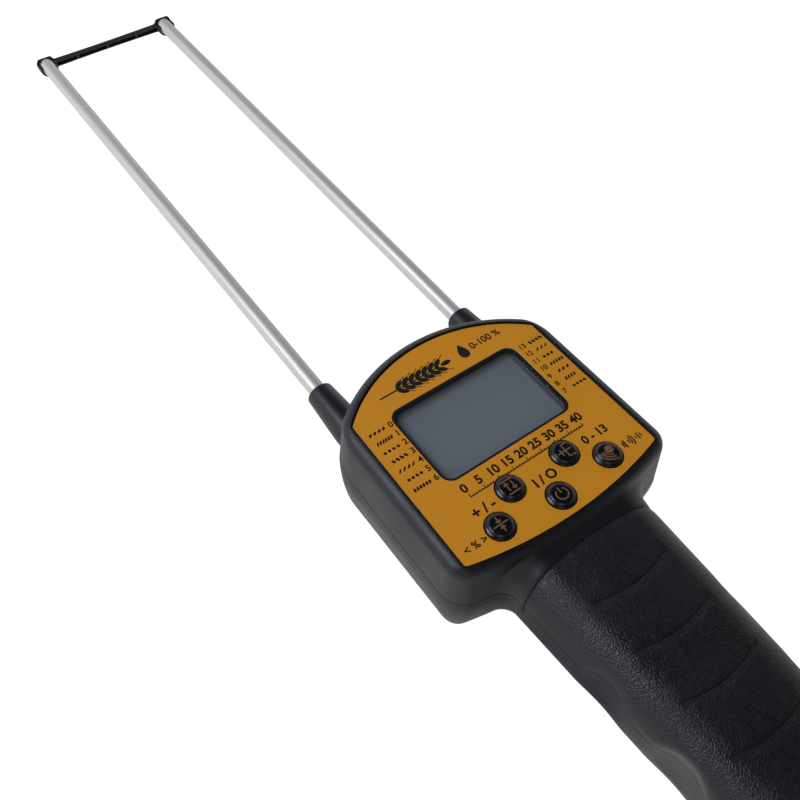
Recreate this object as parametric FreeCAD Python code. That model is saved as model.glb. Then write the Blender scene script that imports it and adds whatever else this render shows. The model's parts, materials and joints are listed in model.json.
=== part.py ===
import FreeCAD, Part
import math
import os

# Hand-held grain moisture meter, lying on its back. Millimetres, +X to the meter's right,
# +Y to the probe tips, +Z out of the face. The origin is under the middle of the whole length,
# on the plane that the back rests on.

V = FreeCAD.Vector
Y_AXIS = V(0, 1, 0)
Z_AXIS = V(0, 0, 1)

# Overall
TIP_Y = 232.5            # far face of the tip spacer
HANDLE_END_Y = -232.5    # end of the handle
WIDE_Z = 23.5            # height of the probe axes, where the body is widest
PARTING_Z = 27.4         # the two shells meet here
JOIN_GAP = 0.005         # gap closed where the two halves of a shell meet at WIDE_Z
LABEL_Z = 45.0           # top of the face label
WALL = 2.2

# Face label: straight sides, a deep front arc and a shallow rear arc
LABEL_HALF = 40.0
LABEL_CORNER_Y = -55.5
LABEL_SIDE = 60.7
LABEL_NARROW = 0.9       # how much nearer the middle each side is at the front corners
FRONT_RISE = 16.4
REAR_RISE = 5.2
LABEL_T = 0.4
LABEL_CORNER_R = 1.4
LABEL_GAP = 0.6
RIM_H = 0.4

# Head: how far its widest outline stands outside the label
SIDE_GROW = 6.75
FRONT_GROW = 6.2
REAR_GROW = 5.3
HEAD_CORNER = 7.0
HEAD_DRAFT = 2.0
HEAD_EDGE_R = 4.0
BACK_ROUND = 10.0

# Handle: half widths at the widest height, height above it, and the roundings
GRIP_FRONT_Y = -129.0
GRIP_REAR_Y = -212.0
GRIP_START_Y = -112.0
GRIP_ROUND_Y = -208.0
GRIP_END = ((18.0, 0.998), (12.0, 0.985), (7.0, 0.95), (3.0, 0.87), (0.8, 0.76), (0.0, 0.64))
GRIP_HALF_FRONT = 27.6
GRIP_HALF_REAR = 24.0
GRIP_RISE = 18.0
GRIP_TOP_R = 12.5
GRIP_CROWN = 0.6
GRIP_BACK_ROUND = 20.0
GROOVE_DEPTH = 0.5
GROOVE_W = 0.7
GROOVE_YS = (-148.8, -166.8, -184.8, -202.7)
GROOVE_R = 42.0
GROOVE_HALF = 15.0
SCALLOP_YS = (-166.0, -195.5)
SCALLOP_DEPTH = 3.8
SCALLOP_SEMI = (8.0, 11.9, 24.0)
SCALLOP_Z = 20.0

# Display
WINDOW_Y = -73.9
WINDOW_HALF = (27.0, 16.9)
WINDOW_CORNER = 4.4
SIGHT_HALF = (26.0, 15.9)
SIGHT_CORNER = 3.6
PANE_HALF = (28.4, 18.4)
PANE_T = 1.6
LCD_HALF = (27.5, 17.5)
LCD_T = 2.6
HOLDER_HALF = (29.2, 19.2)
HOLDER_WALL = 1.5

# Keys
KEYS = {
    "power": (0.0, -114.3),
    "limit": (-22.8, -111.7),
    "adjust": (-11.5, -103.0),
    "varieties": (11.5, -103.0),
    "voice": (22.8, -111.7),
}
KEY_HOLE_R = 5.3
KEY_R = 4.9
KEY_FLANGE_R = 6.1
KEY_STEM_R = 3.0
KEY_TOP = 1.5            # dome above the label
PILL_R = 2.5
PILL_T = 0.5
KEY_TRAVEL_GAP = 1.0

# Main board
BOARD_Z = 36.4           # top face
BOARD_T = 1.6
BOARD_HALF = 33.5
BOARD_FRONT_Y = -50.0
MAT_T = 1.0
MAT_HALF = 29.3
MAT_FRONT_Y = -94.5
BOARD_SCREWS = [(x, y) for x in (-32.0, 32.0) for y in (-58.0, -106.0)]

# Probes
PROBE_X = 32.5
ROD_R = 3.25
ROD_WALL = 0.6
ROD_BACK_Y = -62.0
COLLAR_FRONT_Y = -22.0
COLLAR_BACK_Y = -56.0
COLLAR_FRONT_R = 5.2
COLLAR_HEAD_R = 6.5
COLLAR_NECK_R = 5.4
COLLAR_NECK_Y = -50.0
COLLAR_NECK_W = 2.0
COLLAR_TAPER = 20.0
TERMINAL_T = 0.6
NUT_T = 4.0
NUT_ACROSS = 10.0

# Tip spacer
CUP_R = 4.6
CUP_LEN = 5.6
CUP_TOP = 1.2            # rim of each half cup above the probe axis
END_WALL = 1.0
BAR_LOW = -2.6           # bar below and above the probe axis
BAR_HIGH = 1.2
BAR_DEPTH = 2.4
BAR_FLANGE = 0.8

# Speaker
SPEAKER_Y = -84.0
SPEAKER_R = 14.0
SPEAKER_H = 4.2
MAGNET_R = 6.5
GRILLE_HOLE_R = 0.9
GRILLE_PITCH = 3.4

# Battery bay: a two-by-two holder for AAA cells
CELL_R = 5.2
CELL_LEN = 44.5
CELL_X = 5.7
CELL_DZ = 6.0
BAY_Y = -190.0
BAY_Z = 17.0
BAY_HALF = (12.2, 27.5, 11.4)
BAY_END_WALL = 1.5
SPRING_R = 3.0
SPRING_WIRE_R = 0.35
SPRING_TURNS = 3
SPRING_CORNERS = 8

# Battery cover: a panel that slides off the end of the handle
COVER_FRONT_Y = -163.0
COVER_WIDE_Y = -216.0
COVER_HALF = 15.0
COVER_WIDE_HALF = 17.0
COVER_WIDE_Z = 12.0
COVER_GAP = 0.25

# Screws that close the shells
HOUSING_SCREWS = [(-39.0, -70.0), (39.0, -70.0), (-38.0, -110.0), (38.0, -110.0),
                  (-16.0, -146.0), (16.0, -146.0)]
SCREW_R = 1.4
SCREW_HEAD_R = 2.8
SCREW_SEAT_Z = 8.0
SCREW_TOP_Z = 33.0
BOSS_R = 4.2


def arc_radius(half_chord, rise):
    return (half_chord ** 2 + rise ** 2) / (2 * rise)


FRONT_R = arc_radius(LABEL_HALF, FRONT_RISE)
FRONT_CY = LABEL_CORNER_Y + FRONT_RISE - FRONT_R
REAR_R = arc_radius(LABEL_HALF, REAR_RISE)
REAR_CY = LABEL_CORNER_Y - LABEL_SIDE - REAR_RISE + REAR_R
TOP_Z = LABEL_Z + RIM_H
CEILING_Z = TOP_Z - WALL
PANE_Z = CEILING_Z - PANE_T
LCD_TOP = PANE_Z - 0.4
LCD_BOTTOM = LCD_TOP - LCD_T
BOARD_BOTTOM = BOARD_Z - BOARD_T
MAT_TOP = BOARD_Z + MAT_T
KEY_FLANGE_TOP = CEILING_Z - 0.1
KEY_FLANGE_BOTTOM = KEY_FLANGE_TOP - 1.5


# ---- small helpers ---------------------------------------------------------------------------

def save(shape, node):
    shape.exportStep("parts/" + node + ".step")


def box(x0, x1, y0, y1, z0, z1):
    return Part.makeBox(x1 - x0, y1 - y0, z1 - z0, V(x0, y0, z0))


def rod_z(x, y, z0, z1, radius):
    return Part.makeCylinder(radius, z1 - z0, V(x, y, z0), Z_AXIS)


def rod_y(x, z, y0, y1, radius):
    return Part.makeCylinder(radius, y1 - y0, V(x, y0, z), Y_AXIS)


def group(shapes):
    return Part.makeCompound(shapes)


def united(shapes):
    return shapes[0].fuse(shapes[1:]).removeSplitter()


def plate(half, corner, y, z0, z1):
    """Rounded rectangle centred on x = 0."""
    body = box(-half[0], half[0], y - half[1], y + half[1], z0, z1)
    upright = [edge for edge in body.Edges if abs(edge.tangentAt(edge.FirstParameter).z) > 0.9]
    return body.makeFillet(corner, upright)


def prism(wire, height):
    return Part.Face(wire).extrude(V(0, 0, height))


def turned(points, x, y):
    """Solid of revolution about the upright line through x, y. points are (radius, z)."""
    corners = [V(x + radius, y, z) for radius, z in points]
    face = Part.Face(Part.makePolygon(corners + corners[:1]))
    return face.revolve(V(x, y, 0), Z_AXIS, 360)


def tube(points, radius):
    """Wire along straight runs joined by tangent arcs."""
    corners = [V(*point) for point in points]
    edges = []
    start = corners[0]
    for before, here, after in zip(corners, corners[1:], corners[2:]):
        back = before - here
        ahead = after - here
        run = 0.45 * min(back.Length, ahead.Length)
        back.normalize()
        ahead.normalize()
        first = here + back * run
        last = here + ahead * run
        half_turn = (math.pi - back.getAngle(ahead)) / 2
        bend_r = run / math.tan(half_turn)
        inward = back + ahead
        inward.normalize()
        middle = here + inward * (bend_r / math.cos(half_turn) - bend_r)
        edges.append(Part.LineSegment(start, first).toShape())
        edges.append(Part.Arc(first, middle, last).toShape())
        start = last
    edges.append(Part.LineSegment(start, corners[-1]).toShape())
    profile = Part.Wire(Part.makeCircle(radius, corners[0], corners[1] - corners[0]))
    return Part.Wire(edges).makePipeShell([profile], True, True)


# ---- outlines and sections -------------------------------------------------------------------

def outline(side, front, rear, corner, z, narrow=0.0):
    """Plan of the head: straight sides, front and rear arcs, four rounded corners.
    side, front and rear are how far each edge stands outside the label's edge."""
    front_r = FRONT_R + front
    rear_r = REAR_R + rear
    x_f = LABEL_HALF + side - narrow - corner
    x_r = LABEL_HALF + side - corner
    y_f = FRONT_CY + math.sqrt((front_r - corner) ** 2 - x_f ** 2)
    y_r = REAR_CY - math.sqrt((rear_r - corner) ** 2 - x_r ** 2)
    front_turn = math.atan2(y_f - FRONT_CY, x_f)
    rear_turn = math.atan2(y_r - REAR_CY, x_r)

    def corner_arc(x_c, y_c, turn, sign):
        angles = (turn, turn / 2, 0)
        return [V(sign * (x_c + corner * math.cos(a)), y_c + corner * math.sin(a), z) for a in angles]

    right_front = corner_arc(x_f, y_f, front_turn, 1)
    right_rear = corner_arc(x_r, y_r, rear_turn, 1)[::-1]
    left_rear = corner_arc(x_r, y_r, rear_turn, -1)
    left_front = corner_arc(x_f, y_f, front_turn, -1)[::-1]
    front_apex = V(0, FRONT_CY + front_r, z)
    rear_apex = V(0, REAR_CY - rear_r, z)
    edges = [
        Part.Arc(left_front[2], front_apex, right_front[0]),
        Part.Arc(*right_front),
        Part.LineSegment(right_front[2], right_rear[0]),
        Part.Arc(*right_rear),
        Part.Arc(right_rear[2], rear_apex, left_rear[0]),
        Part.Arc(*left_rear),
        Part.LineSegment(left_rear[2], left_front[0]),
        Part.Arc(*left_front),
    ]
    return Part.Wire([edge.toShape() for edge in edges])


def head_outline(inset, z, narrow=0.0):
    return outline(SIDE_GROW - inset, FRONT_GROW - inset, REAR_GROW - inset, HEAD_CORNER, z, narrow)


def head_top(inset):
    """Upper half of the head, drafted, solid."""
    top = head_outline(inset + HEAD_DRAFT, TOP_Z - inset, LABEL_NARROW)
    return Part.makeLoft([head_outline(inset, WIDE_Z), top], True, True)


def head_back(inset):
    """Lower half of the head, with an elliptical back edge, solid."""
    depth = WIDE_Z - inset
    sections = []
    for degrees in (0, 18, 36, 54, 70, 82, 90):
        angle = math.radians(degrees)
        step_in = inset + (BACK_ROUND - inset) * (1 - math.cos(angle))
        sections.append(head_outline(step_in, WIDE_Z - depth * math.sin(angle)))
    return Part.makeLoft(sections, True)


def grip_half(y):
    share = (y - GRIP_FRONT_Y) / (GRIP_REAR_Y - GRIP_FRONT_Y)
    return GRIP_HALF_FRONT + share * (GRIP_HALF_REAR - GRIP_HALF_FRONT)


def grip_top_section(y, inset, scale):
    half = scale * (grip_half(y) - inset)
    top = WIDE_Z + scale * (GRIP_RISE - inset)
    radius = scale * (GRIP_TOP_R - inset)
    shoulder = top - radius
    middle = radius * math.sqrt(0.5)
    lean = 0.01 * half
    right = V(half, y, WIDE_Z)
    right_up = V(half - lean, y, shoulder)
    right_mid = V(half - lean - radius + middle, y, shoulder + middle)
    right_top = V(half - lean - radius, y, top)
    left_top = V(-right_top.x, y, top)
    left_mid = V(-right_mid.x, y, right_mid.z)
    left_up = V(-right_up.x, y, shoulder)
    left = V(-half, y, WIDE_Z)
    crown = V(0, y, top + scale * GRIP_CROWN)
    edges = [
        Part.LineSegment(left, right),
        Part.LineSegment(right, right_up),
        Part.Arc(right_up, right_mid, right_top),
        Part.Arc(right_top, crown, left_top),
        Part.Arc(left_top, left_mid, left_up),
        Part.LineSegment(left_up, left),
    ]
    return Part.Wire([edge.toShape() for edge in edges])


def grip_back_section(y, inset, scale):
    centre_x = scale * (grip_half(y) - GRIP_BACK_ROUND)
    across = scale * (GRIP_BACK_ROUND - inset)
    depth = scale * (WIDE_Z - inset)

    def quarter(sign):
        points = []
        for degrees in (0, 22.5, 45, 67.5, 90):
            angle = math.radians(degrees)
            x = sign * (centre_x + across * math.cos(angle))
            points.append(V(x, y, WIDE_Z - depth * math.sin(angle)))
        curve = Part.BSplineCurve()
        curve.interpolate(points, InitialTangent=V(0, 0, -1), FinalTangent=V(-sign, 0, 0))
        return curve, points

    right_curve, right = quarter(1)
    left_curve, left = quarter(-1)
    left_curve.reverse()
    edges = [
        Part.LineSegment(left[0], right[0]),
        right_curve,
        Part.LineSegment(right[-1], left[-1]),
        left_curve,
    ]
    return Part.Wire([edge.toShape() for edge in edges])


def grip(section, inset):
    """The handle: a straight taper from inside the head, then the rounded end."""
    ends = [section(GRIP_START_Y, inset, 1.0), section(GRIP_ROUND_Y, inset, 1.0)]
    taper = Part.makeLoft(ends, True, True)
    end_sections = [section(GRIP_ROUND_Y, inset, 1.0)]
    for step_back, scale in GRIP_END:
        end_sections.append(section(HANDLE_END_Y + inset + step_back, inset, scale))
    return taper.fuse(Part.makeLoft(end_sections, True))


# ---- shells ----------------------------------------------------------------------------------

def scallops(grow):
    """Egg shapes that carve the finger scallops. grow makes them larger, to keep a wall behind each."""
    semi = [length + grow for length in SCALLOP_SEMI]
    stretch = FreeCAD.Matrix()
    stretch.scale(V(*semi))
    eggs = []
    for y in SCALLOP_YS:
        for sign in (-1, 1):
            egg = Part.makeSphere(1.0).transformGeometry(stretch)
            egg.translate(V(sign * (grip_half(y) + SCALLOP_SEMI[0] - SCALLOP_DEPTH), y, SCALLOP_Z))
            eggs.append(egg)
    return eggs


def grip_grooves(solid_grip):
    """Curved grooves across the top of the grip and the line where the grained grip starts."""
    skin = solid_grip.cut(grip(grip_top_section, GROOVE_DEPTH))
    slabs = [box(-40, 40, GRIP_FRONT_Y - GROOVE_W, GRIP_FRONT_Y, PARTING_Z, TOP_Z)]
    for y in GROOVE_YS:
        centre_y = y + GROOVE_R
        ring = rod_z(0, centre_y, 36, TOP_Z, GROOVE_R + GROOVE_W / 2)
        ring = ring.cut(rod_z(0, centre_y, 36, TOP_Z, GROOVE_R - GROOVE_W / 2))
        slabs.append(ring.common(box(-GROOVE_HALF, GROOVE_HALF, y - 1, y + 9, 36, TOP_Z)))
    return [skin.common(slab) for slab in slabs]


def collar_seat(half_shell_z0, half_shell_z1):
    """Ribs that grip the neck of each collar, as a pair of walls across the probe axes."""
    ribs = []
    for sign in (-1, 1):
        x = sign * PROBE_X
        rib = box(x - 9, x + 9, COLLAR_NECK_Y - COLLAR_NECK_W, COLLAR_NECK_Y, half_shell_z0, half_shell_z1)
        ribs.append(rib.cut(rod_y(x, WIDE_Z, -60, -40, COLLAR_NECK_R)))
    return ribs


def collar_holes():
    holes = []
    for sign in (-1, 1):
        holes.append(rod_y(sign * PROBE_X, WIDE_Z, COLLAR_NECK_Y, 0, COLLAR_HEAD_R))
    return holes


def layer(z0, z1):
    return box(-60, 60, HANDLE_END_Y - 5, 20, z0, z1)


def front_shell():
    """Everything above the widest height: the solid body and its shell."""
    head = head_top(0)
    rim = [edge for edge in head.Edges if all(abs(vertex.Z - TOP_Z) < 0.01 for vertex in edge.Vertexes)]
    head = head.makeFillet(HEAD_EDGE_R, rim)
    outer = head.fuse(grip(grip_top_section, 0))
    inside = head_top(WALL).fuse(grip(grip_top_section, WALL)).cut(scallops(WALL))
    return outer, outer.cut(inside)


def make_upper_housing():
    outer, shell = front_shell()
    shell = shell.common(layer(PARTING_Z, TOP_Z + 1))

    posts = []
    for x, y in HOUSING_SCREWS:
        posts.append(rod_z(x, y, PARTING_Z, TOP_Z - 1, BOSS_R))
    for x, y in BOARD_SCREWS:
        posts.append(rod_z(x, y, BOARD_Z, TOP_Z - 1, 2.4))
    posts += collar_seat(PARTING_Z, 31.0)
    inner_features = [post.common(outer) for post in posts]
    shell = shell.fuse(inner_features)

    recess = outline(LABEL_GAP, LABEL_GAP, LABEL_GAP, LABEL_CORNER_R, LABEL_Z - LABEL_T, LABEL_NARROW)
    cuts = [prism(recess, 3)]
    cuts.append(plate(SIGHT_HALF, SIGHT_CORNER, WINDOW_Y, PANE_Z, TOP_Z + 1))
    for x, y in KEYS.values():
        cuts.append(rod_z(x, y, CEILING_Z - 1, TOP_Z + 1, KEY_HOLE_R))
    for x, y in HOUSING_SCREWS:
        cuts.append(rod_z(x, y, PARTING_Z - 1, SCREW_TOP_Z + 1, SCREW_R))
    for x, y in BOARD_SCREWS:
        cuts.append(rod_z(x, y, BOARD_Z - 1, 41.5, 0.9))
    cuts += collar_holes()
    cuts += scallops(0)
    cuts += grip_grooves(grip(grip_top_section, 0))
    return shell.cut(cuts)


def cover_region(gap):
    """The part of the back shell that belongs to the battery cover."""
    narrow = box(-COVER_HALF + gap, COVER_HALF - gap, COVER_WIDE_Y - 5, COVER_FRONT_Y - gap, -1, 10.5)
    wide = box(-COVER_WIDE_HALF + gap, COVER_WIDE_HALF - gap, HANDLE_END_Y - 5, COVER_WIDE_Y - gap,
               -1, COVER_WIDE_Z - gap)
    return narrow.fuse(wide)


def back_shell():
    outer = head_back(0).fuse(grip(grip_back_section, 0))
    inside = head_back(WALL).fuse(grip(grip_back_section, WALL)).cut(scallops(WALL))
    return outer, outer.cut(inside)


def grille_holes():
    holes = []
    for row in range(-2, 3):
        for column in range(-2, 3):
            x = (column + 0.5 * row) * GRILLE_PITCH
            y = row * GRILLE_PITCH * math.sqrt(0.75)
            if math.hypot(x, y) < 2.2 * GRILLE_PITCH:
                holes.append(rod_z(x, SPEAKER_Y + y, -1, WALL + 1, GRILLE_HOLE_R))
    return holes


def make_lower_housing():
    outer, shell = back_shell()
    front_outer, front = front_shell()
    band = layer(WIDE_Z, PARTING_Z)
    outer = outer.fuse([front_outer.common(band)], JOIN_GAP)
    shell = shell.fuse([front.common(band)], JOIN_GAP)
    posts = [rod_z(x, y, 0, PARTING_Z, BOSS_R) for x, y in HOUSING_SCREWS]
    posts += collar_seat(16.0, PARTING_Z)
    ring = rod_z(0, SPEAKER_Y, 1, WALL + 3.5, SPEAKER_R + 1.6)
    ring = ring.cut(rod_z(0, SPEAKER_Y, WALL, WALL + 4, SPEAKER_R + 0.2))
    posts.append(ring)
    bay_front = BAY_Y + BAY_HALF[1] + 0.4
    posts.append(box(-20, 20, bay_front, bay_front + 1.6, 1, 14))
    shell = shell.fuse([post.common(outer) for post in posts])

    cuts = []
    for x, y in HOUSING_SCREWS:
        cuts.append(rod_z(x, y, -1, SCREW_SEAT_Z, SCREW_HEAD_R + 0.2))
        cuts.append(rod_z(x, y, SCREW_SEAT_Z - 1, PARTING_Z + 1, SCREW_R))
    cuts += grille_holes()
    cuts += collar_holes()
    cuts += scallops(0)
    cuts.append(cover_region(0))
    return shell.cut(cuts)


def make_battery_cover():
    shell = back_shell()[1]
    panel = shell.common(cover_region(COVER_GAP))
    rails = []
    for sign in (-1, 1):
        web = box(13.0, 14.2, -212, -168, 1, 9.5)
        tongue = box(13.0, 16.2, -212, -168, 8.5, 9.5)
        rail = web.fuse(tongue)
        if sign < 0:
            rail = rail.mirror(V(0, 0, 0), V(1, 0, 0))
        rails.append(rail.common(grip(grip_back_section, 1.0)))
    ridges = [box(-8, 8, y, y + 1.0, -1, 0.5) for y in (-172.0, -174.5, -177.0, -179.5, -182.0)]
    return panel.fuse(rails).cut(ridges).removeSplitter()


# ---- face ------------------------------------------------------------------------------------

def make_face_label():
    sheet = prism(outline(0, 0, 0, LABEL_CORNER_R, LABEL_Z - LABEL_T, LABEL_NARROW), LABEL_T)
    cuts = [plate(WINDOW_HALF, WINDOW_CORNER, WINDOW_Y, 40, 50)]
    cuts += [rod_z(x, y, 40, 50, KEY_HOLE_R) for x, y in KEYS.values()]
    return sheet.cut(cuts)


def make_display_window():
    return plate(PANE_HALF, 3.0, WINDOW_Y, PANE_Z, CEILING_Z)


def make_lcd_holder():
    holder = plate(HOLDER_HALF, 1.0, WINDOW_Y, BOARD_Z, PANE_Z)
    pocket = (HOLDER_HALF[0] - HOLDER_WALL, HOLDER_HALF[1] - HOLDER_WALL)
    return holder.cut(plate(pocket, 0.5, WINDOW_Y, 30, 50))


def make_lcd_glass():
    return plate(LCD_HALF, 0.4, WINDOW_Y, LCD_BOTTOM, LCD_TOP)


def make_lcd_reflector():
    return box(-26, 26, WINDOW_Y - 13, WINDOW_Y + 13, LCD_BOTTOM - 0.3, LCD_BOTTOM)


def make_zebra_strips():
    rows = [WINDOW_Y - 15.5, WINDOW_Y + 15.5]
    return group([box(-26, 26, y - 1, y + 1, BOARD_Z, LCD_BOTTOM) for y in rows])


def make_key_cap(x, y):
    stem_z = BOARD_Z + KEY_TRAVEL_GAP + PILL_T
    dome_z = LABEL_Z + 0.1
    top_z = LABEL_Z + KEY_TOP
    dome_r = arc_radius(KEY_R, top_z - dome_z)
    profile = [(0, stem_z), (KEY_STEM_R, stem_z), (KEY_STEM_R, KEY_FLANGE_BOTTOM),
               (KEY_FLANGE_R, KEY_FLANGE_BOTTOM), (KEY_FLANGE_R, KEY_FLANGE_TOP), (KEY_R, KEY_FLANGE_TOP),
               (KEY_R, top_z), (0, top_z)]
    ball = Part.makeSphere(dome_r, V(x, y, top_z - dome_r))
    below = rod_z(x, y, stem_z - 1, dome_z, KEY_FLANGE_R + 1)
    return turned(profile, x, y).common(ball.fuse(below))


def make_key_pill(x, y):
    return rod_z(x, y, BOARD_Z + KEY_TRAVEL_GAP, BOARD_Z + KEY_TRAVEL_GAP + PILL_T, PILL_R)


def make_key_skirt(x, y):
    profile = [(5.9, MAT_TOP), (6.3, MAT_TOP), (4.7, KEY_FLANGE_BOTTOM), (4.3, KEY_FLANGE_BOTTOM)]
    return turned(profile, x, y)


def make_keypad_mat():
    mat = prism(outline(SIDE_GROW, 0, 0.2, HEAD_CORNER, BOARD_Z), MAT_T)
    mat = mat.common(box(-MAT_HALF, MAT_HALF, -130, MAT_FRONT_Y, BOARD_Z, MAT_TOP))
    return mat.cut([rod_z(x, y, 30, 40, 5.7) for x, y in KEYS.values()])


# ---- electronics -----------------------------------------------------------------------------

def make_main_board():
    board = prism(outline(1.5, 1.0, 0.5, HEAD_CORNER, BOARD_BOTTOM), BOARD_T)
    board = board.common(box(-BOARD_HALF, BOARD_HALF, -130, BOARD_FRONT_Y, BOARD_BOTTOM, BOARD_Z))
    return board.cut([rod_z(x, y, 30, 40, 1.1) for x, y in BOARD_SCREWS])


def make_controller_chip():
    return box(-15, -5, -80, -70, BOARD_BOTTOM - 1.5, BOARD_BOTTOM)


def make_voice_chip():
    return box(8, 18, -100, -93, BOARD_BOTTOM - 1.3, BOARD_BOTTOM)


def make_crystal():
    return plate((5.2, 2.2), 2.0, -90, BOARD_BOTTOM - 3.4, BOARD_BOTTOM).translated(V(-20, 0, 0))


def make_capacitors():
    places = [(22.0, -66.0, 3.2), (22.0, -74.5, 3.2), (25.5, -88.0, 2.5)]
    return group([rod_z(x, y, BOARD_BOTTOM - 5.5, BOARD_BOTTOM, radius) for x, y, radius in places])


def make_board_screws():
    screws = []
    for x, y in BOARD_SCREWS:
        head = rod_z(x, y, BOARD_BOTTOM - 1.4, BOARD_BOTTOM, 2.0)
        screws.append(united([head, rod_z(x, y, BOARD_BOTTOM, 41.0, 0.9)]))
    return group(screws)


def make_speaker_frame():
    cup = rod_z(0, SPEAKER_Y, WALL, WALL + SPEAKER_H, SPEAKER_R)
    cup = cup.cut(rod_z(0, SPEAKER_Y, WALL - 1, WALL + SPEAKER_H - 0.8, SPEAKER_R - 0.9))
    return cup


def make_speaker_cone():
    z = WALL + 1.2
    profile = [(4.2, z + 1.5), (4.2, z + 1.9), (12.9, z + 0.4), (12.9, z), (10.8, z)]
    ring = turned(profile, 0, SPEAKER_Y)
    dome = turned([(0, z + 0.8), (4.2, z + 1.5), (4.2, z + 1.9), (0, z + 1.2)], 0, SPEAKER_Y)
    return united([ring, dome])


def make_speaker_magnet():
    return rod_z(0, SPEAKER_Y, WALL + SPEAKER_H, WALL + SPEAKER_H + 3.6, MAGNET_R)


def make_speaker_wires():
    wires = []
    top = WALL + SPEAKER_H
    for x in (-1.5, 1.5):
        route = [(x, -74.0, top), (x, -74.0, top + 4), (x, -68.0, 18.0), (x, -64.0, 27.0),
                 (x, -64.0, BOARD_BOTTOM)]
        wires.append(tube(route, 0.5))
    return group(wires)


# ---- probes ----------------------------------------------------------------------------------

def make_collar(x):
    taper_y = COLLAR_FRONT_Y - COLLAR_TAPER
    nose = Part.makeCone(COLLAR_HEAD_R, COLLAR_FRONT_R, COLLAR_TAPER, V(x, taper_y, WIDE_Z), Y_AXIS)
    front = [edge for edge in nose.Edges if edge.Closed and abs(edge.Vertexes[0].Y - COLLAR_FRONT_Y) < 0.01]
    nose = nose.makeFillet(1.0, front)
    shank = rod_y(x, WIDE_Z, COLLAR_NECK_Y, taper_y, COLLAR_HEAD_R)
    neck = rod_y(x, WIDE_Z, COLLAR_NECK_Y - COLLAR_NECK_W, COLLAR_NECK_Y, COLLAR_NECK_R)
    tail = rod_y(x, WIDE_Z, COLLAR_BACK_Y, COLLAR_NECK_Y - COLLAR_NECK_W, COLLAR_HEAD_R)
    collar = united([nose, shank, neck, tail])
    return collar.cut(rod_y(x, WIDE_Z, -80, 0, ROD_R))


def make_rod(x):
    outside = rod_y(x, WIDE_Z, ROD_BACK_Y, TIP_Y - END_WALL, ROD_R)
    return outside.cut(rod_y(x, WIDE_Z, ROD_BACK_Y - 1, TIP_Y - END_WALL - 1.0, ROD_R - ROD_WALL))


def make_probe_terminals():
    terminals = []
    for sign in (-1, 1):
        x = sign * PROBE_X
        ring = rod_y(x, WIDE_Z, COLLAR_BACK_Y - TERMINAL_T, COLLAR_BACK_Y, 5.2)
        tab = box(x - 1.5, x + 1.5, COLLAR_BACK_Y - TERMINAL_T, COLLAR_BACK_Y, WIDE_Z, 30.0)
        terminals.append(united([ring, tab]).cut(rod_y(x, WIDE_Z, -70, 0, ROD_R)))
    return group(terminals)


def make_probe_nuts():
    nuts = []
    y1 = COLLAR_BACK_Y - TERMINAL_T
    corner_r = NUT_ACROSS / math.sqrt(3)
    for sign in (-1, 1):
        x = sign * PROBE_X
        corners = []
        for step in range(7):
            angle = math.radians(60 * step)
            across = corner_r * math.cos(angle)
            corners.append(V(x + across, y1 - NUT_T, WIDE_Z + corner_r * math.sin(angle)))
        nut = Part.Face(Part.makePolygon(corners)).extrude(V(0, NUT_T, 0))
        nuts.append(nut.cut(rod_y(x, WIDE_Z, -80, 0, ROD_R)))
    return group(nuts)


def make_probe_wires():
    wires = []
    y = COLLAR_BACK_Y - TERMINAL_T / 2
    for sign in (-1, 1):
        x = sign * PROBE_X
        route = [(x, y, 30.0), (x, y, 31.6), (x - sign * 4, y - 3, 33.0),
                 (x - sign * 4, y - 3, BOARD_BOTTOM)]
        wires.append(tube(route, 0.5))
    return group(wires)


def make_tip_spacer():
    """Channel bar with three ribs, a half cup under the end of each rod and a wall behind it."""
    bar_y = TIP_Y - BAR_DEPTH
    low = WIDE_Z + BAR_LOW
    high = WIDE_Z + BAR_HIGH
    pieces = [
        box(-PROBE_X, PROBE_X, TIP_Y - END_WALL, TIP_Y, low, high),
        box(-PROBE_X, PROBE_X, bar_y, TIP_Y, high - BAR_FLANGE, high),
        box(-PROBE_X, PROBE_X, bar_y, TIP_Y, low, low + BAR_FLANGE),
    ]
    for x in (-PROBE_X / 2, 0, PROBE_X / 2):
        pieces.append(box(x - 0.5, x + 0.5, bar_y, TIP_Y, low, high))
    for sign in (-1, 1):
        pieces.append(rod_y(sign * PROBE_X, WIDE_Z, TIP_Y - CUP_LEN, TIP_Y, CUP_R))
    spacer = united(pieces)
    wall_y = TIP_Y - END_WALL
    cuts = [
        box(-60, 60, 200, wall_y, WIDE_Z + CUP_TOP, WIDE_Z + CUP_R + 1),
        box(-60, 60, wall_y, TIP_Y + 1, WIDE_Z + ROD_R, WIDE_Z + CUP_R + 1),
    ]
    for sign in (-1, 1):
        x = sign * PROBE_X
        cuts.append(rod_y(x, WIDE_Z, 200, wall_y, ROD_R))
    return spacer.cut(cuts)


# ---- batteries -------------------------------------------------------------------------------

CELL_PLACES = [(x, BAY_Z + dz) for dz in (-CELL_DZ, CELL_DZ) for x in (-CELL_X, CELL_X)]


def cell_facing(index):
    """Cells alternate, so that neighbours sit plus to minus. +1 has its button towards the head."""
    return (1, -1, -1, 1)[index]


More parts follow.
